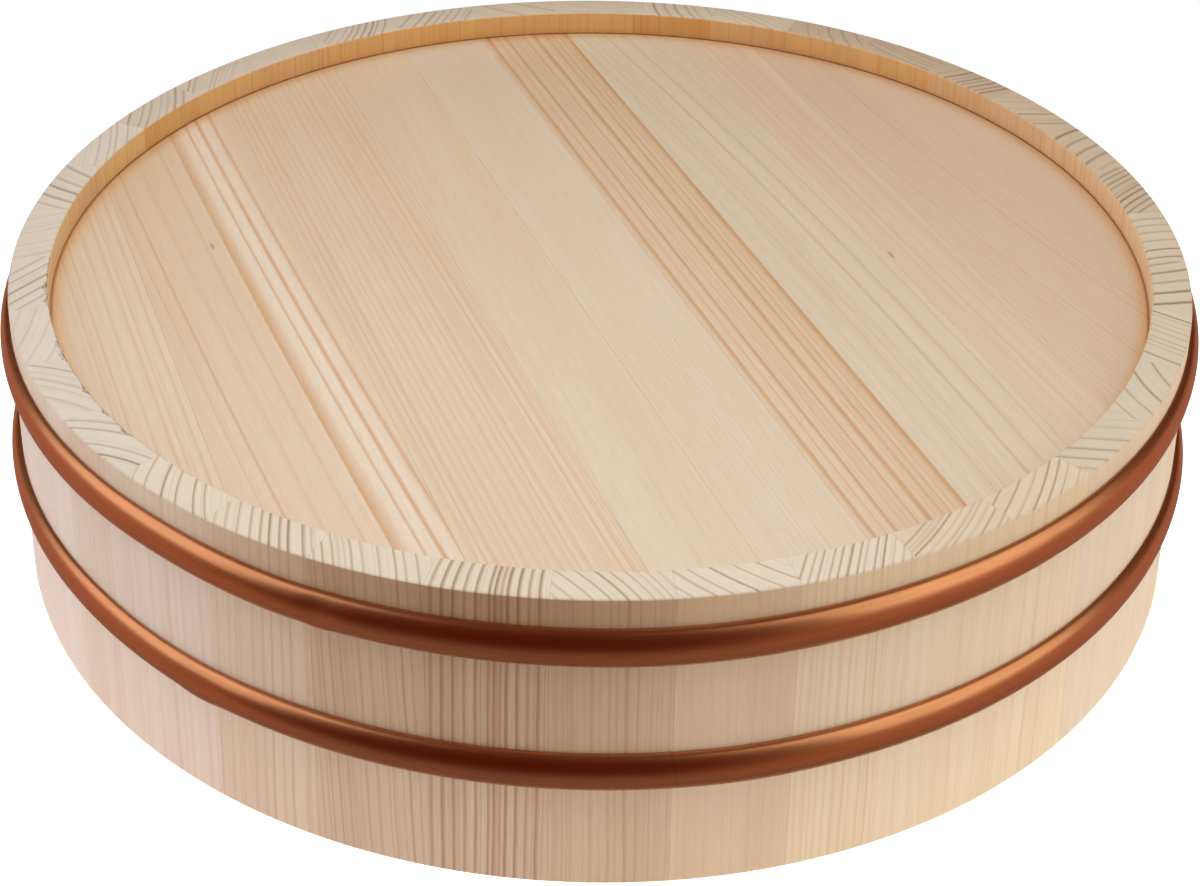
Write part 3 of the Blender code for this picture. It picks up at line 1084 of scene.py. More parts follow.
@dataclass
class StaveWall:
    """The ring of staves, each its own piece, joined with hairline joints.

    Attributes:
        sizes: Sizes that the tub's sub-assemblies share.
        grains: How each stave was sawn.
        first_joint: Angle of the first joint, in degrees.
        joint_gap: Width of the joints, which the finished wall hardly shows.
        rim_round: Rounding of the rims' edges.
        groove_round: Rounding of the groove's edges.
        arc_points: Points across one stave.
        round_points: Points in each rounding.
    """

    sizes: TubSizes
    grains: tuple[StaveGrain, ...] = STAVE_GRAINS
    first_joint: float = 6.4
    joint_gap: float = 0.00004
    rim_round: float = 0.0007
    groove_round: float = 0.00015
    arc_points: int = 13
    round_points: int = 4

    # Painted light and shade on the wall above the base: deep warm shade at the back, less on the
    # left, brighter on the right.
    RECESS_BACK = (0.99, 0.69, 0.345)
    RECESS_LEFT = (0.99, 0.81, 0.47)
    RECESS_RIGHT = (1.15, 1.02, 0.92)

    @property
    def share(self) -> float:
        """Angle that one stave takes of the ring, in radians."""
        return 2 * math.pi / len(self.grains)

    def recess_tint(self, number: int) -> Colour:
        """Painted light and shade for the wall above the base: warm shade at the back, palest on
        the right.

        Args:
            number: The stave's number, from one.

        Returns:
            The tint.
        """
        lean = math.cos(math.radians(self.turn(number)))
        end = self.RECESS_RIGHT if lean > 0 else self.RECESS_LEFT
        return between(self.RECESS_BACK, end, lean**4)

    def turn(self, number: int) -> float:
        """Angle of a stave's middle, in degrees."""
        return self.first_joint + (number - 0.5) * math.degrees(self.share)

    def plan(self) -> bpy.types.Mesh:
        """One point for each stave on the tub's axis, with its turn and its number.

        Returns:
            The mesh of points.
        """
        count = len(self.grains)
        first = math.radians(self.first_joint)
        mesh = bpy.data.meshes.new("stave plan")
        mesh.from_pydata([(0.0, 0.0, 0.0)] * count, [], [])
        turns = [first + (number + 0.5) * self.share for number in range(count)]
        numbers = [float(number + 1) for number in range(count)]
        for name, values in (("turn", turns), ("number", numbers)):
            mesh.attributes.new(name, "FLOAT", "POINT").data.foreach_set("value", values)
        return mesh

    def tree(self) -> ShapeTree:
        """The Geometry Nodes that make one stave from its sizes and stand it round the ring.

        Returns:
            The tree.
        """
        tree = ShapeTree("stave ring")
        height = tree.size("Height", self.sizes.height)
        mouth = tree.size("Mouth Radius", self.sizes.mouth_radius)
        foot = tree.size("Foot Radius", self.sizes.foot_radius)
        wall = tree.size("Wall", self.sizes.wall)
        top = tree.size("Base Top", self.sizes.base_top)
        bottom = tree.size("Base Bottom", self.sizes.base_bottom)
        groove = tree.size("Groove Radius", self.sizes.groove_radius)
        drop = tree.size("Bevel Drop", self.sizes.bevel_drop)
        gap = tree.size("Seat Gap", self.sizes.seat_gap)
        rim = tree.size("Rim Rounding", self.rim_round)
        lip = tree.size("Groove Rounding", self.groove_round)
        sweep = tree.size("Sweep", self.share - self.joint_gap / self.sizes.mouth_radius)
        points = tree.size("Arc Points", self.arc_points)
        slope = (foot - mouth) / height
        corners = [
            (mouth, 0.0),
            (foot, height),
            (foot - wall, height),
            (mouth + slope * top - wall, top),
            (groove, top + gap - drop),
            (groove, bottom - gap + drop),
            (mouth + slope * bottom - wall, bottom),
            (mouth - wall, 0.0),
        ]
        rounds = [rim, rim, rim, lip, lip, lip, lip, rim]
        profile = tree.outline(corners, rounds, self.round_points)
        stave = tree.sweep(tree.straight(sweep, points), profile)
        radius, angle, level = tree.separate(tree.position())
        grain_place = tree.combine(
            angle * (mouth + foot) * (MM / 2),
            (radius - (mouth + slope * level - wall * 0.5)) * MM,
            level * MM,
        )
        stave = tree.keep(stave, "grain_place", grain_place)
        bent = tree.combine(radius * angle.cosine(), radius * angle.sine(), level)
        stave = tree.move(stave, bent)
        turn = tree.combine(0.0, 0.0, tree.named("turn", "FLOAT"))
        tree.finish(tree.copies(tree.source, stave, turn))
        return tree

    def build(self) -> None:
        """Make the staves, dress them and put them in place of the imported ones."""
        ring = self.tree().run("stave ring", self.plan(), bpy.data.materials.new("bare wood"))
        for number, grain in enumerate(self.grains, start=1):
            node = f"stave_{number:02d}"
            name = f"{node}_timber"
            mesh = part_where(ring, "number", number, name)
            wood = StaveWood(self.sizes, grain, number, self.turn(number), self.recess_tint(number))
            mesh.materials.append(wood.material(f"{node} wood"))
            settle(name, mesh, node)


@dataclass(frozen=True)
class BoardWood:
    """Planed conifer wood of one base board, with its own lines.

    Attributes:
        tone: Colour of the early wood at the front end, paler there with painted light.
        back: Colour of the early wood at the back end, darker there with painted shade.
        late: Colour of the lines.
        step_mm: Distance between the fine lines.
        fine: Strength of the fine lines.
        lean: How far the lines lean to the right towards the front.
        curve: How fast that lean changes, per millimetre.
        bands: The strong lines.
        pale: Start, end and strength of a bleached stretch between strong lines.
        fleck: Place of a small dark fleck, across and along, or nothing.
        seed: Sets the board's own pattern of chance.
    """

    tone: Colour
    back: Colour
    late: Colour
    step_mm: float
    fine: float
    lean: float = 0.0
    curve: float = 0.0
    bands: tuple[Band, ...] = ()
    pale: tuple[float, float, float] = (0.0, 1.0, 0.0)
    fleck: tuple[float, float] | None = None
    seed: float = 0.0

    ROUGHNESS = 0.5
    WANDER_MM = 0.8
    LEAN_WITH_DEPTH = 0.12
    BLEACHED = paint(232, 218, 200)
    FLECK_MM = (0.7, 2.4)
    GLOW = (1.0, 0.74, 0.46)
    GLOW_MM = (4.6, 0.4)
    SEAM_SHADE = (0.62, 0.42, 0.28)
    SEAM_MM = (0.9, 0.4)
    HALF_LENGTH_MM = 120.0

    def material(
        self, name: str, turn: float, reach_mm: float, top_mm: float
    ) -> bpy.types.Material:
        """Build the board's material.

        Args:
            name: The material's name.
            turn: Degrees by which the boards are turned.
            reach_mm: Radius of the base that shows.
            top_mm: Height of the face that shows.

        Returns:
            The material.
        """
        shade = Shade(name)
        across, along, level = shade.separate(shade.turned_place(-turn))
        place = shade.combine(across, along * 0.02, level + self.seed * 31.0)
        wander = (shade.noise(place, 0.12, 1.0) - 0.5) * self.WANDER_MM
        bow = along * along * self.curve
        lean = along * self.lean - bow + (level - top_mm) * self.LEAN_WITH_DEPTH
        line = across + lean + wander
        fine = self.fine_lines(shade, line, place)
        strength_place = shade.combine(across * 0.3, along * 0.03, self.seed)
        strong = self.strong_lines(shade, line) * (0.55 + shade.noise(strength_place) * 0.8)
        fibre = shade.noise(shade.combine(across * 3.2, along * 0.07, level), 1.0, 3.0, 0.65)
        speck = shade.noise(shade.combine(across * 2.6, along * 0.55, level + 3.0), 1.0, 2.0, 0.6)
        broad = shade.noise(shade.combine(across * 0.07, along * 0.006, self.seed), 1.0, 2.0)
        # Painted light: each board runs from its paler front colour to its darker back colour.
        half = self.HALF_LENGTH_MM
        to_back_shade = shade.stretch(along, -half, half)
        colour = shade.blend(to_back_shade, self.tone, self.back)
        colour = shade.blend(broad.rise(0.3, 0.7) * 0.14, colour, self.late)
        if self.pale[2]:
            low, high, strength = self.pale
            bleached = line.bump((low + high) / 2, (high - low) / 2) * strength
            colour = shade.blend(bleached, colour, self.BLEACHED)
        colour = shade.blend(fibre.rise(0.35, 0.8) * 0.32, colour, self.late)
        colour = shade.blend(speck.rise(0.5, 0.85) * 0.22, colour, self.late)
        colour = shade.blend(fine * self.fine, colour, self.late)
        colour = shade.blend(strong, colour, self.late)
        if self.fleck:
            colour = self.with_fleck(shade, colour, across, along)
        colour = self.with_glow(shade, colour, across, along, reach_mm)
        texture = fibre * 0.7 - strong * 0.5 - fine * self.fine * 0.4
        return shade.surface(
            BaseColor=colour,
            Roughness=self.ROUGHNESS + (fibre - 0.5) * 0.2 - strong * 0.06,
            Normal=shade.relief(texture, 0.04, 0.45),
            SpecularIORLevel=0.6,
        )

    def fine_lines(self, shade: Shade, line: Expr, place: Expr) -> Expr:
        """The board's fine lines, whose distances and strengths vary.

        Args:
            shade: The material under construction.
            line: Place across the rings.
            place: Place in the board.

        Returns:
            The lines' strength.
        """
        serration = (shade.noise(place, 1.7, 2.0) - 0.5) * 0.25
        count = (line + serration) / self.step_mm + self.seed * 23.0
        count = count + (shade.noise_along(count * 0.4) - 0.5) * 1.4
        late = count.part()
        luck = shade.lot(count.whole() + self.seed * 11.0)
        weight = 0.3 + luck * 0.7
        return late.rise(0.3, 0.93) * late.rise(1.0, 0.94) * weight

    def strong_lines(self, shade: Shade, line: Expr) -> Expr:
        """Strength of the strong lines, each crisp on one side and soft on the other."""
        return shade.lines(line, list(self.bands)) if self.bands else line * 0.0

    def with_fleck(self, shade: Shade, colour: Expr, across: Expr, along: Expr) -> Expr:
        """Add a small dark fleck, longer along the grain than across it.

        Args:
            shade: The material under construction.
            colour: The colour so far.
            across: Place across the base.
            along: Place along the boards.

        Returns:
            The colour with the fleck.
        """
        x = (across - self.fleck[0]) / self.FLECK_MM[0]
        y = (along - self.fleck[1]) / self.FLECK_MM[1]
        spot = (x * x + y * y).rise(1.0, 0.1)
        return shade.blend(spot * 0.55, colour, scaled(self.late, 0.5))

    def with_glow(
        self, shade: Shade, colour: Expr, across: Expr, along: Expr, reach_mm: float
    ) -> Expr:
        """Paint a warm glow of light bounced off the wall along the board's edge, and painted shade
        down to a thin dark line in the corner.

        Args:
            shade: The material under construction.
            colour: The colour so far.
            across: Place across the base.
            along: Place along the boards.
            reach_mm: Radius of the base that shows.

        Returns:
            The colour with its painted glow and shade.
        """
        radius = (across * across + along * along) ** 0.5
        warm, corner = (
            radius.rise(reach_mm - start, reach_mm - end)
            for start, end in (self.GLOW_MM, self.SEAM_MM)
        )
        colour = shade.blend(warm * 0.8, colour, self.GLOW, "MULTIPLY")
        return shade.blend(corner * 0.7, colour, self.SEAM_SHADE, "MULTIPLY")


# Each board's first two colours follow a scratch program's ratios of photograph to render,
# raised by one to four levels by hand.
BOARD_WOODS = (
    BoardWood(
        paint(219, 202, 177), paint(218, 198, 168), paint(203, 160, 114), 3.2, 0.2, seed=1.3,
        bands=(
            Band(-142.6, 0.5, 0.5, 0.45), Band(-140.0, 0.4, 0.8, 0.5), Band(-135.4, 0.5, 0.6, 0.35),
            Band(-131.5, 0.4, 0.6, 0.4), Band(-129.4, 0.3, 0.7, 0.5), Band(-125.7, 0.6, 0.6, 0.4),
        ),
    ),
    BoardWood(
        paint(220, 200, 174), paint(213, 190, 158), paint(203, 156, 108), 4.0, 0.12, lean=0.0355,
        curve=0.000074, pale=(-101.0, -76.0, 0.6), fleck=(-101.4, 42.0), seed=2.1,
        bands=(
            Band(-119.9, 0.5, 0.4, 0.45), Band(-115.9, 0.8, 0.4, 0.75),
            Band(-108.8, 1.0, 0.9, 0.28), Band(-101.7, 0.8, 0.5, 0.38), Band(-96.5, 0.5, 3.6, 0.95),
            Band(-90.5, 0.4, 0.9, 0.75), Band(-86.5, 0.9, 1.0, 0.95), Band(-82.2, 0.8, 0.8, 0.85),
        ),
    ),
    BoardWood(
        paint(221, 201, 172), paint(215, 191, 160), paint(200, 158, 116), 2.2, 0.42, lean=0.004,
        seed=3.4,
        bands=(
            Band(-73.5, 0.4, 0.4, 0.5), Band(-71.0, 0.4, 0.4, 0.4), Band(-49.5, 0.4, 0.3, 0.3),
            Band(-47.4, 0.4, 0.3, 0.4), Band(-45.2, 0.4, 0.3, 0.4), Band(-43.1, 0.5, 0.3, 0.5),
            Band(-41.2, 0.5, 0.3, 0.4),
        ),
    ),
    BoardWood(
        paint(218, 202, 175), paint(214, 190, 158), paint(200, 162, 124), 3.4, 0.16, lean=-0.05,
        seed=4.2,
    ),
    BoardWood(
        paint(219, 203, 179), paint(213, 194, 169), paint(200, 164, 126), 0.95, 0.36, lean=0.002,
        seed=5.7,
    ),
    BoardWood(
        paint(216, 194, 163), paint(211, 185, 152), paint(192, 140, 90), 3.0, 0.2, seed=6.9,
        bands=(
            Band(15.4, 1.3, 0.8, 0.75), Band(18.4, 0.5, 0.3, 0.4), Band(21.1, 1.0, 0.6, 0.8),
            Band(23.8, 0.5, 0.3, 0.35), Band(25.6, 0.4, 0.3, 0.3), Band(27.3, 0.5, 0.4, 0.6),
            Band(30.7, 1.4, 0.9, 0.85), Band(32.7, 0.3, 0.3, 0.3), Band(34.5, 0.9, 0.5, 0.7),
            Band(36.6, 0.7, 0.5, 0.6), Band(38.4, 0.4, 0.3, 0.4), Band(41.2, 1.8, 0.5, 1.0),
        ),
    ),
    BoardWood(
        paint(214, 198, 172), paint(210, 193, 165), paint(188, 152, 106), 3.4, 0.16, lean=0.03,
        curve=-0.0002, seed=7.5,
        bands=(
            Band(50.6, 0.8, 0.5, 0.4), Band(53.6, 0.6, 0.5, 0.32), Band(61.4, 0.9, 0.5, 0.5),
            Band(67.4, 0.9, 0.6, 0.55), Band(73.6, 0.8, 0.5, 0.4),
        ),
    ),
    BoardWood(
        paint(215, 195, 167), paint(211, 186, 155), paint(196, 152, 114), 4.2, 0.2, lean=0.02,
        fleck=(78.2, -25.4), seed=8.8,
        bands=(
            Band(84.9, 0.7, 0.4, 0.4), Band(89.2, 0.6, 0.4, 0.35), Band(93.4, 0.6, 0.4, 0.3),
        ),
    ),
    BoardWood(
        paint(212, 190, 161), paint(208, 182, 153), paint(188, 144, 108), 1.05, 0.34, lean=0.1,
        curve=0.0004, seed=9.6,
        bands=(
            Band(118.6, 0.7, 0.4, 0.4), Band(121.6, 0.6, 0.4, 0.4),
        ),
    ),
)


@dataclass
class BaseBoards:
    """The base: boards side by side, with hairline joints and a bevelled edge in the groove.

    Attributes:
        sizes: Sizes that the tub's sub-assemblies share.
        widths: Widths of the boards, which fill the base together.
        woods: The boards' finishes.
        turn: Degrees by which the boards are turned.
        joint_gap: Width of the joints.
        arc_degrees: Largest step of the round ends.
    """

    sizes: TubSizes
    widths: tuple[float, ...] = (
        0.0319, 0.046, 0.0381, 0.0254, 0.0272, 0.0284, 0.0355, 0.0194, 0.0588,
    )
    woods: tuple[BoardWood, ...] = BOARD_WOODS
    turn: float = BOARD_TURN
    joint_gap: float = 0.00004
    arc_degrees: float = 0.6

    ON_AXIS = 1e-6

    def sides(self) -> list[tuple[float, float]]:
        """Left and right side of each board, as places across the base.

        Returns:
            A pair for each board.
        """
        reach = self.sizes.base_radius
        fill = 2 * reach / sum(self.widths)
        joints = [-reach + fill * sum(self.widths[:n]) for n in range(1, len(self.widths))]
        lefts = [-reach] + [joint + self.joint_gap / 2 for joint in joints]
        rights = [joint - self.joint_gap / 2 for joint in joints] + [reach]
        return list(zip(lefts, rights))

    def outline(self, left: float, right: float, radius: float) -> list[tuple[float, float]]:
        """Outline of a board at one height.

        Args:
            left: Place of its left side.
            right: Place of its right side.
            radius: Radius of its round ends.

        Returns:
            Points once round, from above.
        """
        full = self.sizes.base_radius
        span = math.acos(max(-1.0, left / full)) - math.acos(min(1.0, right / full))
        steps = max(2, math.ceil(math.degrees(span) / self.arc_degrees))
        first = math.acos(max(-1.0, left / radius))
        last = math.acos(min(1.0, right / radius))
        angles = [first + (last - first) * step / steps for step in range(steps + 1)]
        top = [(radius * math.cos(a), radius * math.sin(a)) for a in angles]
        bottom = [(x, -y) for x, y in top if y > self.ON_AXIS]
        return top + bottom[::-1]

    def board(self, name: str, left: float, right: float) -> bpy.types.Mesh:
        """A board's mesh: its outline at four heights, joined up.

        Args:
            name: The mesh's name.
            left: Place of its left side.
            right: Place of its right side.

        Returns:
            The mesh, in place in the tub.
        """
        sizes = self.sizes
        top_face = sizes.inner(sizes.height) - sizes.bevel_shows
        floor_face = sizes.inner(sizes.base_bottom) - sizes.bevel_shows
        levels = (
            (sizes.base_bottom, floor_face),
            (sizes.base_bottom + sizes.bevel_drop, sizes.base_radius),
            (sizes.base_top - sizes.bevel_drop, sizes.base_radius),
            (sizes.base_top, top_face),
        )
        spin = Matrix.Rotation(math.radians(self.turn), 4, "Z")
        bm = bmesh.new()
        rings = []
        for z, radius in levels:
            points = self.outline(left, right, radius)
            rings.append([bm.verts.new(spin @ Vector((x, y, z))) for x, y in points])
        for lower, upper in zip(rings, rings[1:]):
            for i, corner in enumerate(lower):
                j = (i + 1) % len(lower)
                bm.faces.new((corner, lower[j], upper[j], upper[i]))
        bm.faces.new(rings[0])
        bm.faces.new(rings[-1])
        bmesh.ops.recalc_face_normals(bm, faces=bm.faces)
        mesh = bpy.data.meshes.new(name)
        bm.to_mesh(mesh)
        bm.free()
        return mesh

    def build(self) -> None:
        """Make the boards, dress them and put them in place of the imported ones."""
        reach_mm = self.sizes.inner(self.sizes.base_top) * MM
        top_mm = self.sizes.base_top * MM
        for number, ((left, right), wood) in enumerate(zip(self.sides(), self.woods), start=1):
            node = f"base_board_{number}"
            name = f"{node}_timber"
            mesh = self.board(name, left, right)
            finish = wood.material(f"base wood {number}", self.turn, reach_mm, top_mm)
            mesh.materials.append(finish)
            settle(name, mesh, node)


@dataclass(frozen=True)
class Bamboo:
    """Split bamboo with its long fibres, for the pins."""

    colour: Colour = paint(214, 190, 140)
    fibre_colour: Colour = paint(168, 136, 86)
    roughness: float = 0.46

    def material(self, turn: float) -> bpy.types.Material:
        """Build the bamboo's material.

        Args:
            turn: Degrees by which the pins are turned with their boards.

        Returns:
            The material.
        """
        shade = Shade("bamboo")
        length, across, level = shade.separate(shade.turned_place(-turn))
        place = shade.combine(length * 0.15, across * 4.0, level * 4.0)
        fibre = shade.noise(place, 1.0, 3.0, 0.6)
        streak = fibre.rise(0.45, 0.75)
        return shade.surface(
            BaseColor=shade.blend(streak * 0.7, self.colour, self.fibre_colour),
            Roughness=self.roughness + (fibre - 0.5) * 0.2,
            Normal=shade.relief(fibre, 0.03, 0.6),
        )


@dataclass
class BasePins:
    """The pins inside the base's joints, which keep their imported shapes."""

    count: int = 12
    turn: float = BOARD_TURN

    def dress(self, nodes: dict[str, bpy.types.Object]) -> None:
        """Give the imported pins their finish.

        Args:
            nodes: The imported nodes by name.
        """
        bamboo = Bamboo().material(self.turn)
        for number in range(1, self.count + 1):
            pin = nodes[f"base_pin_{number:02d}"]
            for slot in pin.material_slots:
                slot.material = bamboo
        LOG.info("base pins: %d dressed", self.count)


@dataclass(frozen=True)
class Dent:
    """A shallow dent of a hoop.

    Attributes:
        angle: Where it is, in degrees.
        width: Half its width, in degrees.
        depth: How deep it is.
        sag: How far the lower edge hangs down there.
    """

    angle: float
    width: float
    depth: float
    sag: float = 0.0


@dataclass(frozen=True)
class SatinCopper:
    """Rolled copper with a satin lacquer, darker at its brazed joint, with painted shade along its
    upper lip and a painted mauve reflection on its lower side.
    """

    colour: Colour = (0.85, 0.38, 0.16)
    lip_shade_and_joint_colour: Colour = (0.46, 0.12, 0.05)
    low_reflection_colour: Colour = (0.58, 0.26, 0.20)
    roughness: float = 0.32

    UPPER_LIP_SHADE = (0.95, 0.985)
    LOWER_REFLECTION_SIDE = (-0.55, -0.98)
    JOINT_MM = (0.5, 0.1)
    JOINT_SLANT = 0.8
    RUBBED_LINES = 22.0
    FINE_CELLS = 900.0

    def material(self) -> bpy.types.Material:
        """Build the copper's material.

        Returns:
            The material, which reads the attribute that the hoop's tree writes.
        """
        shade = Shade("satin copper")
        along, side, level = shade.separate(shade.attribute("hoop_place"))
        upper_lip_shade = side.rise(*self.UPPER_LIP_SHADE)
        lower = side.rise(*self.LOWER_REFLECTION_SIDE)
        joint = abs(along + side * self.JOINT_SLANT).rise(*self.JOINT_MM)
        cloud = shade.noise(shade.combine(along * 0.06, side * 2.0, level), 1.0, 3.0, 0.5)
        rubbed_place = shade.combine(along * 0.1, side * self.RUBBED_LINES, level)
        rubbed = shade.noise(rubbed_place, 1.0, 2.0, 0.6)
        fine = shade.noise(shade.place(), self.FINE_CELLS, 2.0, 0.6)
        colour = shade.blend(cloud.rise(0.3, 0.7) * 0.4, self.colour, scaled(self.colour, 0.75))
        colour = shade.blend(rubbed.rise(0.45, 0.75) * 0.25, colour, scaled(self.colour, 0.7))
        # Painted reflection: the lower side turns a darker mauve, as though it mirrored the pale
        # floor.
        colour = shade.blend(lower * 0.7, colour, self.low_reflection_colour)
        # Painted shade along the upper lip where it meets the wall; the brazed joint is darker
        # copper of its own.
        colour = shade.blend(upper_lip_shade * 0.45 + joint * 0.18, colour, self.lip_shade_and_joint_colour)
        return shade.surface(
            BaseColor=colour,
            Metallic=1.0,
            Roughness=self.roughness + (cloud - 0.5) * 0.08 + (rubbed - 0.5) * 0.06,
            Normal=shade.relief(fine * 0.5 + rubbed * 0.5, 0.012, 0.35),
            CoatWeight=0.06,
            CoatRoughness=0.22,
        )


@dataclass
class Hoop:
    """A hoop of thin copper sheet, rolled half round, with its lips on the wall.

    Attributes:
        node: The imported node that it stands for.
        sizes: Sizes that the tub's sub-assemblies share.
        below_foot: How far its middle is below the foot rim.
        dents: Its dents.
        lifts: How far it sits above its place, as pairs of an angle from 90 to 450 degrees and a
            height; the first height is also the last one.
        seam: Angle of its brazed joint, in degrees.
        width: Width on the wall.
        proud: How far it stands out.
        sheet: Thickness of the sheet.
        gap: Gap to the wall.
        path_points: Points round the hoop.
        side_points: Points over the outside of the section, and as many inside.
    """

    node: str
    sizes: TubSizes
    below_foot: float
    dents: tuple[Dent, ...]
    lifts: tuple[tuple[float, float], ...]
    seam: float
    width: float = 0.0103
    proud: float = 0.0027
    sheet: float = 0.0007
    gap: float = 0.0001
    path_points: int = 360
    side_points: int = 22

    BACK_DEGREES = 90.0
    WAVES = 7.0
    WAVE_DEPTH = 0.00003
    SAG_SIDE = (0.4, -0.9)

    def tree(self) -> ShapeTree:
        """The Geometry Nodes that turn the hoop's section round the wall and dent it.

        Returns:
            The tree.
        """
        tree = ShapeTree("rolled hoop")
        radius = tree.size("Wall Radius", self.sizes.outer(self.middle))
        slope = tree.size("Wall Slope", self.sizes.outer(1.0) - self.sizes.outer(0.0))
        middle = tree.size("Height", self.middle)
        width = tree.size("Width", self.width)
        proud = tree.size("Proud", self.proud)
        sheet = tree.size("Sheet", self.sheet)
        gap = tree.size("Wall Gap", self.gap)
        points = tree.size("Path Points", self.path_points)
        section = self.section(tree, width, proud, sheet, slope)
        path = tree.circle(radius + gap, points)
        ring = tree.sweep(path, section)
        x, y, z = tree.separate(tree.position())
        out = (x * x + y * y) ** 0.5
        angle = tree.math("ARCTAN2", y, x)
        degrees = angle * math.degrees(1.0)
        degrees = degrees + degrees.below(self.BACK_DEGREES) * 360.0
        side = z / (width * 0.5)
        along = (degrees - self.seam) * (self.sizes.outer(self.middle) * MM * math.radians(1.0))
        ring = tree.keep(ring, "hoop_place", tree.combine(along, side, z * MM))
        crown = (1.0 - side * side).most(0.0)
        moved = out - self.dent_depth(degrees) * crown
        share = moved / out
        hanging = self.sag(degrees) * side.rise(*self.SAG_SIDE)
        raised = z + middle + self.lift(degrees) - hanging
        ring = tree.move(ring, tree.combine(x * share, y * share, raised))
        tree.finish(ring)
        return tree

    @property
    def middle(self) -> float:
        """Height of the hoop's middle."""
        return self.sizes.height - self.below_foot

    def section(
        self, tree: ShapeTree, width: Expr, proud: Expr, sheet: Expr, slope: Expr
    ) -> Expr:
        """Section of the sheet: half round outside, half round inside, closed at the lips.

        Args:
            tree: The hoop's tree.
            width: Width on the wall.
            proud: How far it stands out.
            sheet: Thickness of the sheet.
            slope: How the wall's radius changes with height.

        Returns:
            The section as a closed curve.
        """
        count = self.side_points
        line = tree.take(tree.node("GeometryNodeMeshLine", None, {"Count": 2 * count}))
        number = tree.index()
        is_inner = number.above(count - 0.5)
        step = number - is_inner * float(count)
        angle = (step / float(count - 1) - 0.5) * math.pi * (1.0 - is_inner * 2.0)
        half = width * 0.5 - sheet * is_inner
        depth = proud - sheet * is_inner
        height = half * angle.sine()
        place = tree.combine(depth * angle.cosine() + slope * height, height * -1.0, 0.0)
        moved = tree.move(line, place)
        return tree.closed(tree.take(tree.node("GeometryNodeMeshToCurve", None, {0: moved})))

    def dent_depth(self, degrees: Expr) -> Expr:
        """How far the hoop is pressed in at an angle, waves and dents together."""
        waves = (degrees * math.radians(self.WAVES)).sine() * self.WAVE_DEPTH
        return sum((degrees.bump(d.angle, d.width) * d.depth for d in self.dents), waves)

    def lift(self, degrees: Expr) -> Expr:
        """How far the hoop sits above its place at an angle.

        Args:
            degrees: The angle.

        Returns:
            The height.
        """
        pairs = zip(self.lifts, self.lifts[1:])
        steps = (degrees.rise(start, end) * (high - low) for (start, low), (end, high) in pairs)
        return sum(steps, self.lifts[0][1])

    def sag(self, degrees: Expr) -> Expr:
        """How far the hoop's lower edge hangs down at an angle."""
        return sum(degrees.bump(d.angle, d.width) * d.sag for d in self.dents if d.sag)

    def build(self, copper: bpy.types.Material) -> None:
        """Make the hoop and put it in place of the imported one.

        Args:
            copper: Its finish.
        """
        name = f"{self.node}_copper"
        mesh = self.tree().run(name, bpy.data.meshes.new("hoop seed"), copper)
        settle(name, mesh, self.node)


def part_where(mesh: bpy.types.Mesh, attribute: str, value: float, name: str) -> bpy.types.Mesh:
    """Copy the faces whose points have one value of an attribute.

    Args:
        mesh: The whole mesh.
        attribute: Name of a number kept on the points.
        value: The value to keep.
        name: The new mesh's name.

    Returns:
        The copy, with its faces pointing out.
    """
    bm = bmesh.new()
    bm.from_mesh(mesh)
    layer = bm.verts.layers.float[attribute]
    others = [v for v in bm.verts if abs(v[layer] - value) > 0.5]
    bmesh.ops.delete(bm, geom=others, context="VERTS")
    bmesh.ops.recalc_face_normals(bm, faces=bm.faces)
    part = bpy.data.meshes.new(name)
    bm.to_mesh(part)
    bm.free()
    return part


def settle(name: str, mesh: bpy.types.Mesh, node: str) -> None:
    """Put a finished mesh in the scene, on its body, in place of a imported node.

    Args:
        name: The piece's name.
        mesh: Its mesh, already in place.
        node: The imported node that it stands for.
    """
    piece = bpy.data.objects.new(name, mesh)
    bpy.context.scene.collection.objects.link(piece)
    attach(piece, Body.TUB.value)
    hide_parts(node)
    LOG.info("%s: %d faces", name, len(mesh.polygons))


@dataclass(frozen=True)
class Softbox:
    """A soft rectangular studio light.

    Attributes:
        name: The light's name.
        bearing: Direction to it, in degrees from +X towards +Y.
        elevation: How high it stands, in degrees above the floor.
        distance: How far it is from the tub.
        width: Its width.
        height: Its height.
        power: Its power in watts.
        colour: Its colour.
        seen_by: What it acts on.
    """

    name: str
    bearing: float
    elevation: float
    distance: float
    width: float
    height: float
    power: float
    colour: Colour = (1.0, 1.0, 1.0)
    seen_by: SeenBy = SeenBy.ALL

    AIM = (0.0, 0.0, 0.05)

    def build(self) -> None:
        """Add the light, aimed at the tub and unseen by the camera."""
        light = bpy.data.lights.new(self.name, "AREA")
        light.shape = "RECTANGLE"
        light.size = self.width
        light.size_y = self.height
        light.energy = self.power
        light.color = self.colour
        lamp = bpy.data.objects.new(self.name, light)
        bearing, elevation = math.radians(self.bearing), math.radians(self.elevation)
        flat = math.cos(elevation)
        away = Vector((math.cos(bearing) * flat, math.sin(bearing) * flat, math.sin(elevation)))
        lamp.location = Vector(self.AIM) + away * self.distance
        lamp.rotation_euler = away.to_track_quat("Z", "Y").to_euler()
        lamp.visible_camera = False
        lamp.visible_diffuse, lamp.visible_glossy = self.seen_by.value
        bpy.context.scene.collection.objects.link(lamp)


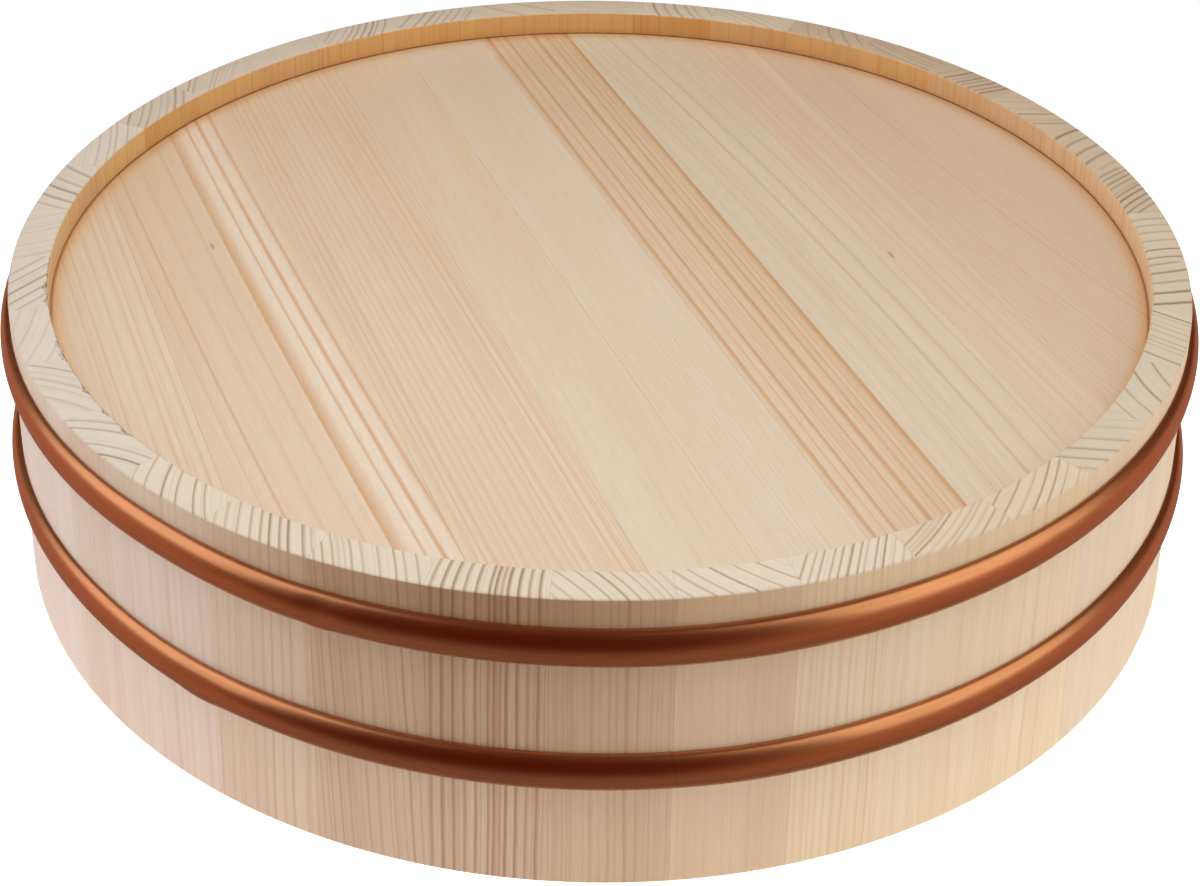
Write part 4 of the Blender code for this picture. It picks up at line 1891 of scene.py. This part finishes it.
LIGHTS = (
    Softbox("left softbox", 187.0, 25.0, 0.9, 0.85, 1.1, 4.1, (0.95, 1.0, 1.0), SeenBy.LIT_WOOD),
    Softbox("right softbox", 345.0, 27.0, 0.9, 0.85, 1.1, 4.6, (0.95, 0.97, 0.95), SeenBy.LIT_WOOD),
    Softbox("back softbox", 90.0, 58.0, 1.3, 1.4, 0.9, 3.8, (1.0, 1.06, 1.09)),
    Softbox("top softbox", 270.0, 75.0, 0.45, 0.6, 0.35, 1.36, (0.98, 1.06, 1.13), SeenBy.LIT_WOOD),
    Softbox("left card", 189.0, 26.5, 1.6, 1.6, 1.65, 8.0, (1.0, 1.0, 1.1), SeenBy.MIRRORS),
    Softbox("right card", 331.0, 24.5, 0.9, 0.82, 0.98, 2.5, (1.0, 1.0, 0.98), SeenBy.MIRRORS),
)


@dataclass(frozen=True)
class Studio:
    """A pale floor, a soft surrounding light and softboxes.

    Attributes:
        softboxes: The lights.
        around: Brightness of the surrounding light.
        dim: Brightness of the surrounding light on the camera's side.
        under: Brightness below the horizon, which only the hoops' reflections see.
        down: Brightness straight down, and below the dim side.
        dim_bearing: Direction to the middle of the dim side, in degrees from +X towards +Y.
        floor_size: Side of the floor.
        floor_colour: Colour of the floor.
        floor_glow: Brightness of the floor's own light round the tub, as of a lit table.
        glow_full: Radius out to which the floor glows fully.
        glow_reach: Radius at which the glow has sunk to its lowest.
        far_glow: How bright the floor glows far off, next to its full glow.
        around_colour: Tint of the surrounding light.
        dim_colour: Tint of the light on the camera's side.
        under_colour: Tint of the light below the horizon.
        down_colour: Tint of the light from straight down.
    """

    softboxes: tuple[Softbox, ...]
    around: float = 0.1
    dim: float = 0.075
    under: float = 0.39
    down: float = 0.185
    dim_bearing: float = 254.0
    floor_size: float = 8.0
    floor_colour: Colour = (0.93, 0.93, 0.93)
    floor_glow: float = 0.91
    glow_full: float = 0.2
    glow_reach: float = 0.26
    far_glow: float = 0.44
    around_colour: Colour = (1.0, 0.38, 0.2)
    dim_colour: Colour = (1.0, 0.12, 0.02)
    under_colour: Colour = (1.0, 0.51, 0.4)
    down_colour: Colour = (1.0, 0.74, 0.68)

    FLOOR_DROP = 0.0002
    DIM_SIDE = (0.4, 0.85)
    DIM_TOP = (0.97, 0.8)
    DIM_DOWN = (-0.35, -0.65)
    HORIZON = (0.0, -0.05)
    STRAIGHT_DOWN = (-0.5, -1.0)

    def build(self) -> None:
        """Build the floor and the lights, and set how the picture shows colours."""
        self.floor()
        self.surroundings()
        for softbox in self.softboxes:
            softbox.build()
        view = bpy.context.scene.view_settings
        view.view_transform = "Standard"
        view.look = "None"
        view.exposure = 0.0
        view.gamma = 1.0

    def floor(self) -> None:
        """Lay the floor, which stays out of the hoops' reflections."""
        half, low = self.floor_size / 2, -self.FLOOR_DROP
        mesh = bpy.data.meshes.new("floor")
        corners = [(-half, -half, low), (half, -half, low), (half, half, low), (-half, half, low)]
        mesh.from_pydata(corners, [], [(0, 1, 2, 3)])
        shade = Shade("pale floor")
        cloud = shade.noise(shade.place(), 3.0, 2.0)
        colour = shade.blend(cloud * 0.3, self.floor_colour, scaled(self.floor_colour, 0.99))
        x, y, _ = shade.separate(shade.place())
        near = ((x * x + y * y) ** 0.5).rise(self.glow_reach, self.glow_full)
        white = shade.surface(
            BaseColor=colour,
            Roughness=0.9,
            EmissionColor=shade.blend(near, (self.far_glow,) * 3, (1.0, 1.0, 1.0)),
            EmissionStrength=self.floor_glow,
        )
        mesh.materials.append(white)
        floor = bpy.data.objects.new("floor", mesh)
        floor.visible_glossy = False
        bpy.context.scene.collection.objects.link(floor)

    def surroundings(self) -> None:
        """Light the scene from all round, dimmer low down on the camera's side."""
        world = bpy.data.worlds.new("studio")
        bpy.context.scene.world = world
        world.use_nodes = True
        graph = Graph(world.node_tree)
        direction = graph.take(graph.node("ShaderNodeTexCoord"), "Generated")
        x, y, z = graph.separate(direction)
        bearing = math.radians(self.dim_bearing)
        towards = x * math.cos(bearing) + y * math.sin(bearing)
        dim_side = towards.rise(*self.DIM_SIDE) * z.rise(*self.DIM_TOP)
        down = scaled(self.down_colour, self.down)
        under = scaled(self.under_colour, self.under)
        under = graph.blend(z.rise(*self.STRAIGHT_DOWN), under, down)
        around = scaled(self.around_colour, self.around)
        bright = graph.blend(z.rise(*self.HORIZON), around, under)
        dim = graph.blend(z.rise(*self.DIM_DOWN), scaled(self.dim_colour, self.dim), down)
        colour = graph.blend(dim_side, bright, dim)
        background = graph.node("ShaderNodeBackground", None, {"Color": colour})
        output = graph.node("ShaderNodeOutputWorld")
        graph.tree.links.new(background.outputs[0], output.inputs["Surface"])


@dataclass(frozen=True)
class Viewpoint:
    """The camera at the photograph's viewing angle.

    Attributes:
        elevation: Degrees above the floor.
        roll: Degrees by which the camera is turned about its line of sight.
        distance: Distance from the point that it looks at.
        aim_height: Height of that point.
        focal_px: Focal length in pixels of the frame's width.
        frame_px: Width and height of the frame.
        centre_px: Where the line of sight meets the frame.
    """

    elevation: float = 32.967
    roll: float = 0.8915
    distance: float = 0.6439
    aim_height: float = 0.0392
    focal_px: float = 2218.3
    frame_px: tuple[int, int] = (1200, 886)
    centre_px: tuple[float, float] = (599.0, 367.5)

    SENSOR_MM = 36.0

    def build(self) -> None:
        """Add the camera and make it the scene's own."""
        width, height = self.frame_px
        camera = bpy.data.cameras.new("viewpoint")
        camera.sensor_fit = "HORIZONTAL"
        camera.sensor_width = self.SENSOR_MM
        camera.lens = self.focal_px * self.SENSOR_MM / width
        camera.shift_x = (width / 2 - self.centre_px[0]) / width
        camera.shift_y = (self.centre_px[1] - height / 2) / width
        camera.clip_start = 0.01
        camera.clip_end = 50.0
        elevation, roll = math.radians(self.elevation), math.radians(self.roll)
        back = Vector((0.0, -math.cos(elevation), math.sin(elevation)))
        right = Vector((1.0, 0.0, 0.0))
        up = back.cross(right)
        right_rolled = right * math.cos(roll) + up * math.sin(roll)
        up_rolled = up * math.cos(roll) - right * math.sin(roll)
        place = Vector((0.0, 0.0, self.aim_height)) + back * self.distance
        turned = Matrix((right_rolled, up_rolled, back)).transposed()
        viewer = bpy.data.objects.new("viewpoint", camera)
        viewer.matrix_world = Matrix.Translation(place) @ turned.to_4x4()
        bpy.context.scene.collection.objects.link(viewer)
        bpy.context.scene.camera = viewer


def main() -> None:
    """Build and dress the tub, then the studio and the camera."""
    logging.basicConfig(level=logging.INFO, format="%(message)s")
    sizes = TubSizes()
    StaveWall(sizes).build()
    BaseBoards(sizes).build()
    BasePins().dress(frame["nodes"])
    copper = SatinCopper().material()
    Hoop(
        "foot_hoop",
        sizes,
        below_foot=0.0128,
        dents=(Dent(247.6, 1.6, 0.0003, 0.0005), Dent(311.6, 1.2, 0.0002)),
        lifts=((228, 0.0011), (246, -0.0002), (274, -0.0001), (302, 0.0009), (322, 0.0011)),
        seam=96.0,
    ).build(copper)
    Hoop(
        "belly_hoop",
        sizes,
        below_foot=0.0486,
        dents=(Dent(234.8, 3.4, 0.0001, 0.0008), Dent(297.5, 0.9, 0.00015)),
        lifts=(
            (216, 0.001), (237, -0.0001), (281, 0.0), (294, 0.0004), (380, 0.0004), (440, 0.001),
        ),
        seam=276.6,
    ).build(copper)
    Studio(LIGHTS).build()
    Viewpoint().build()


if __name__ == "__main__":
    main()
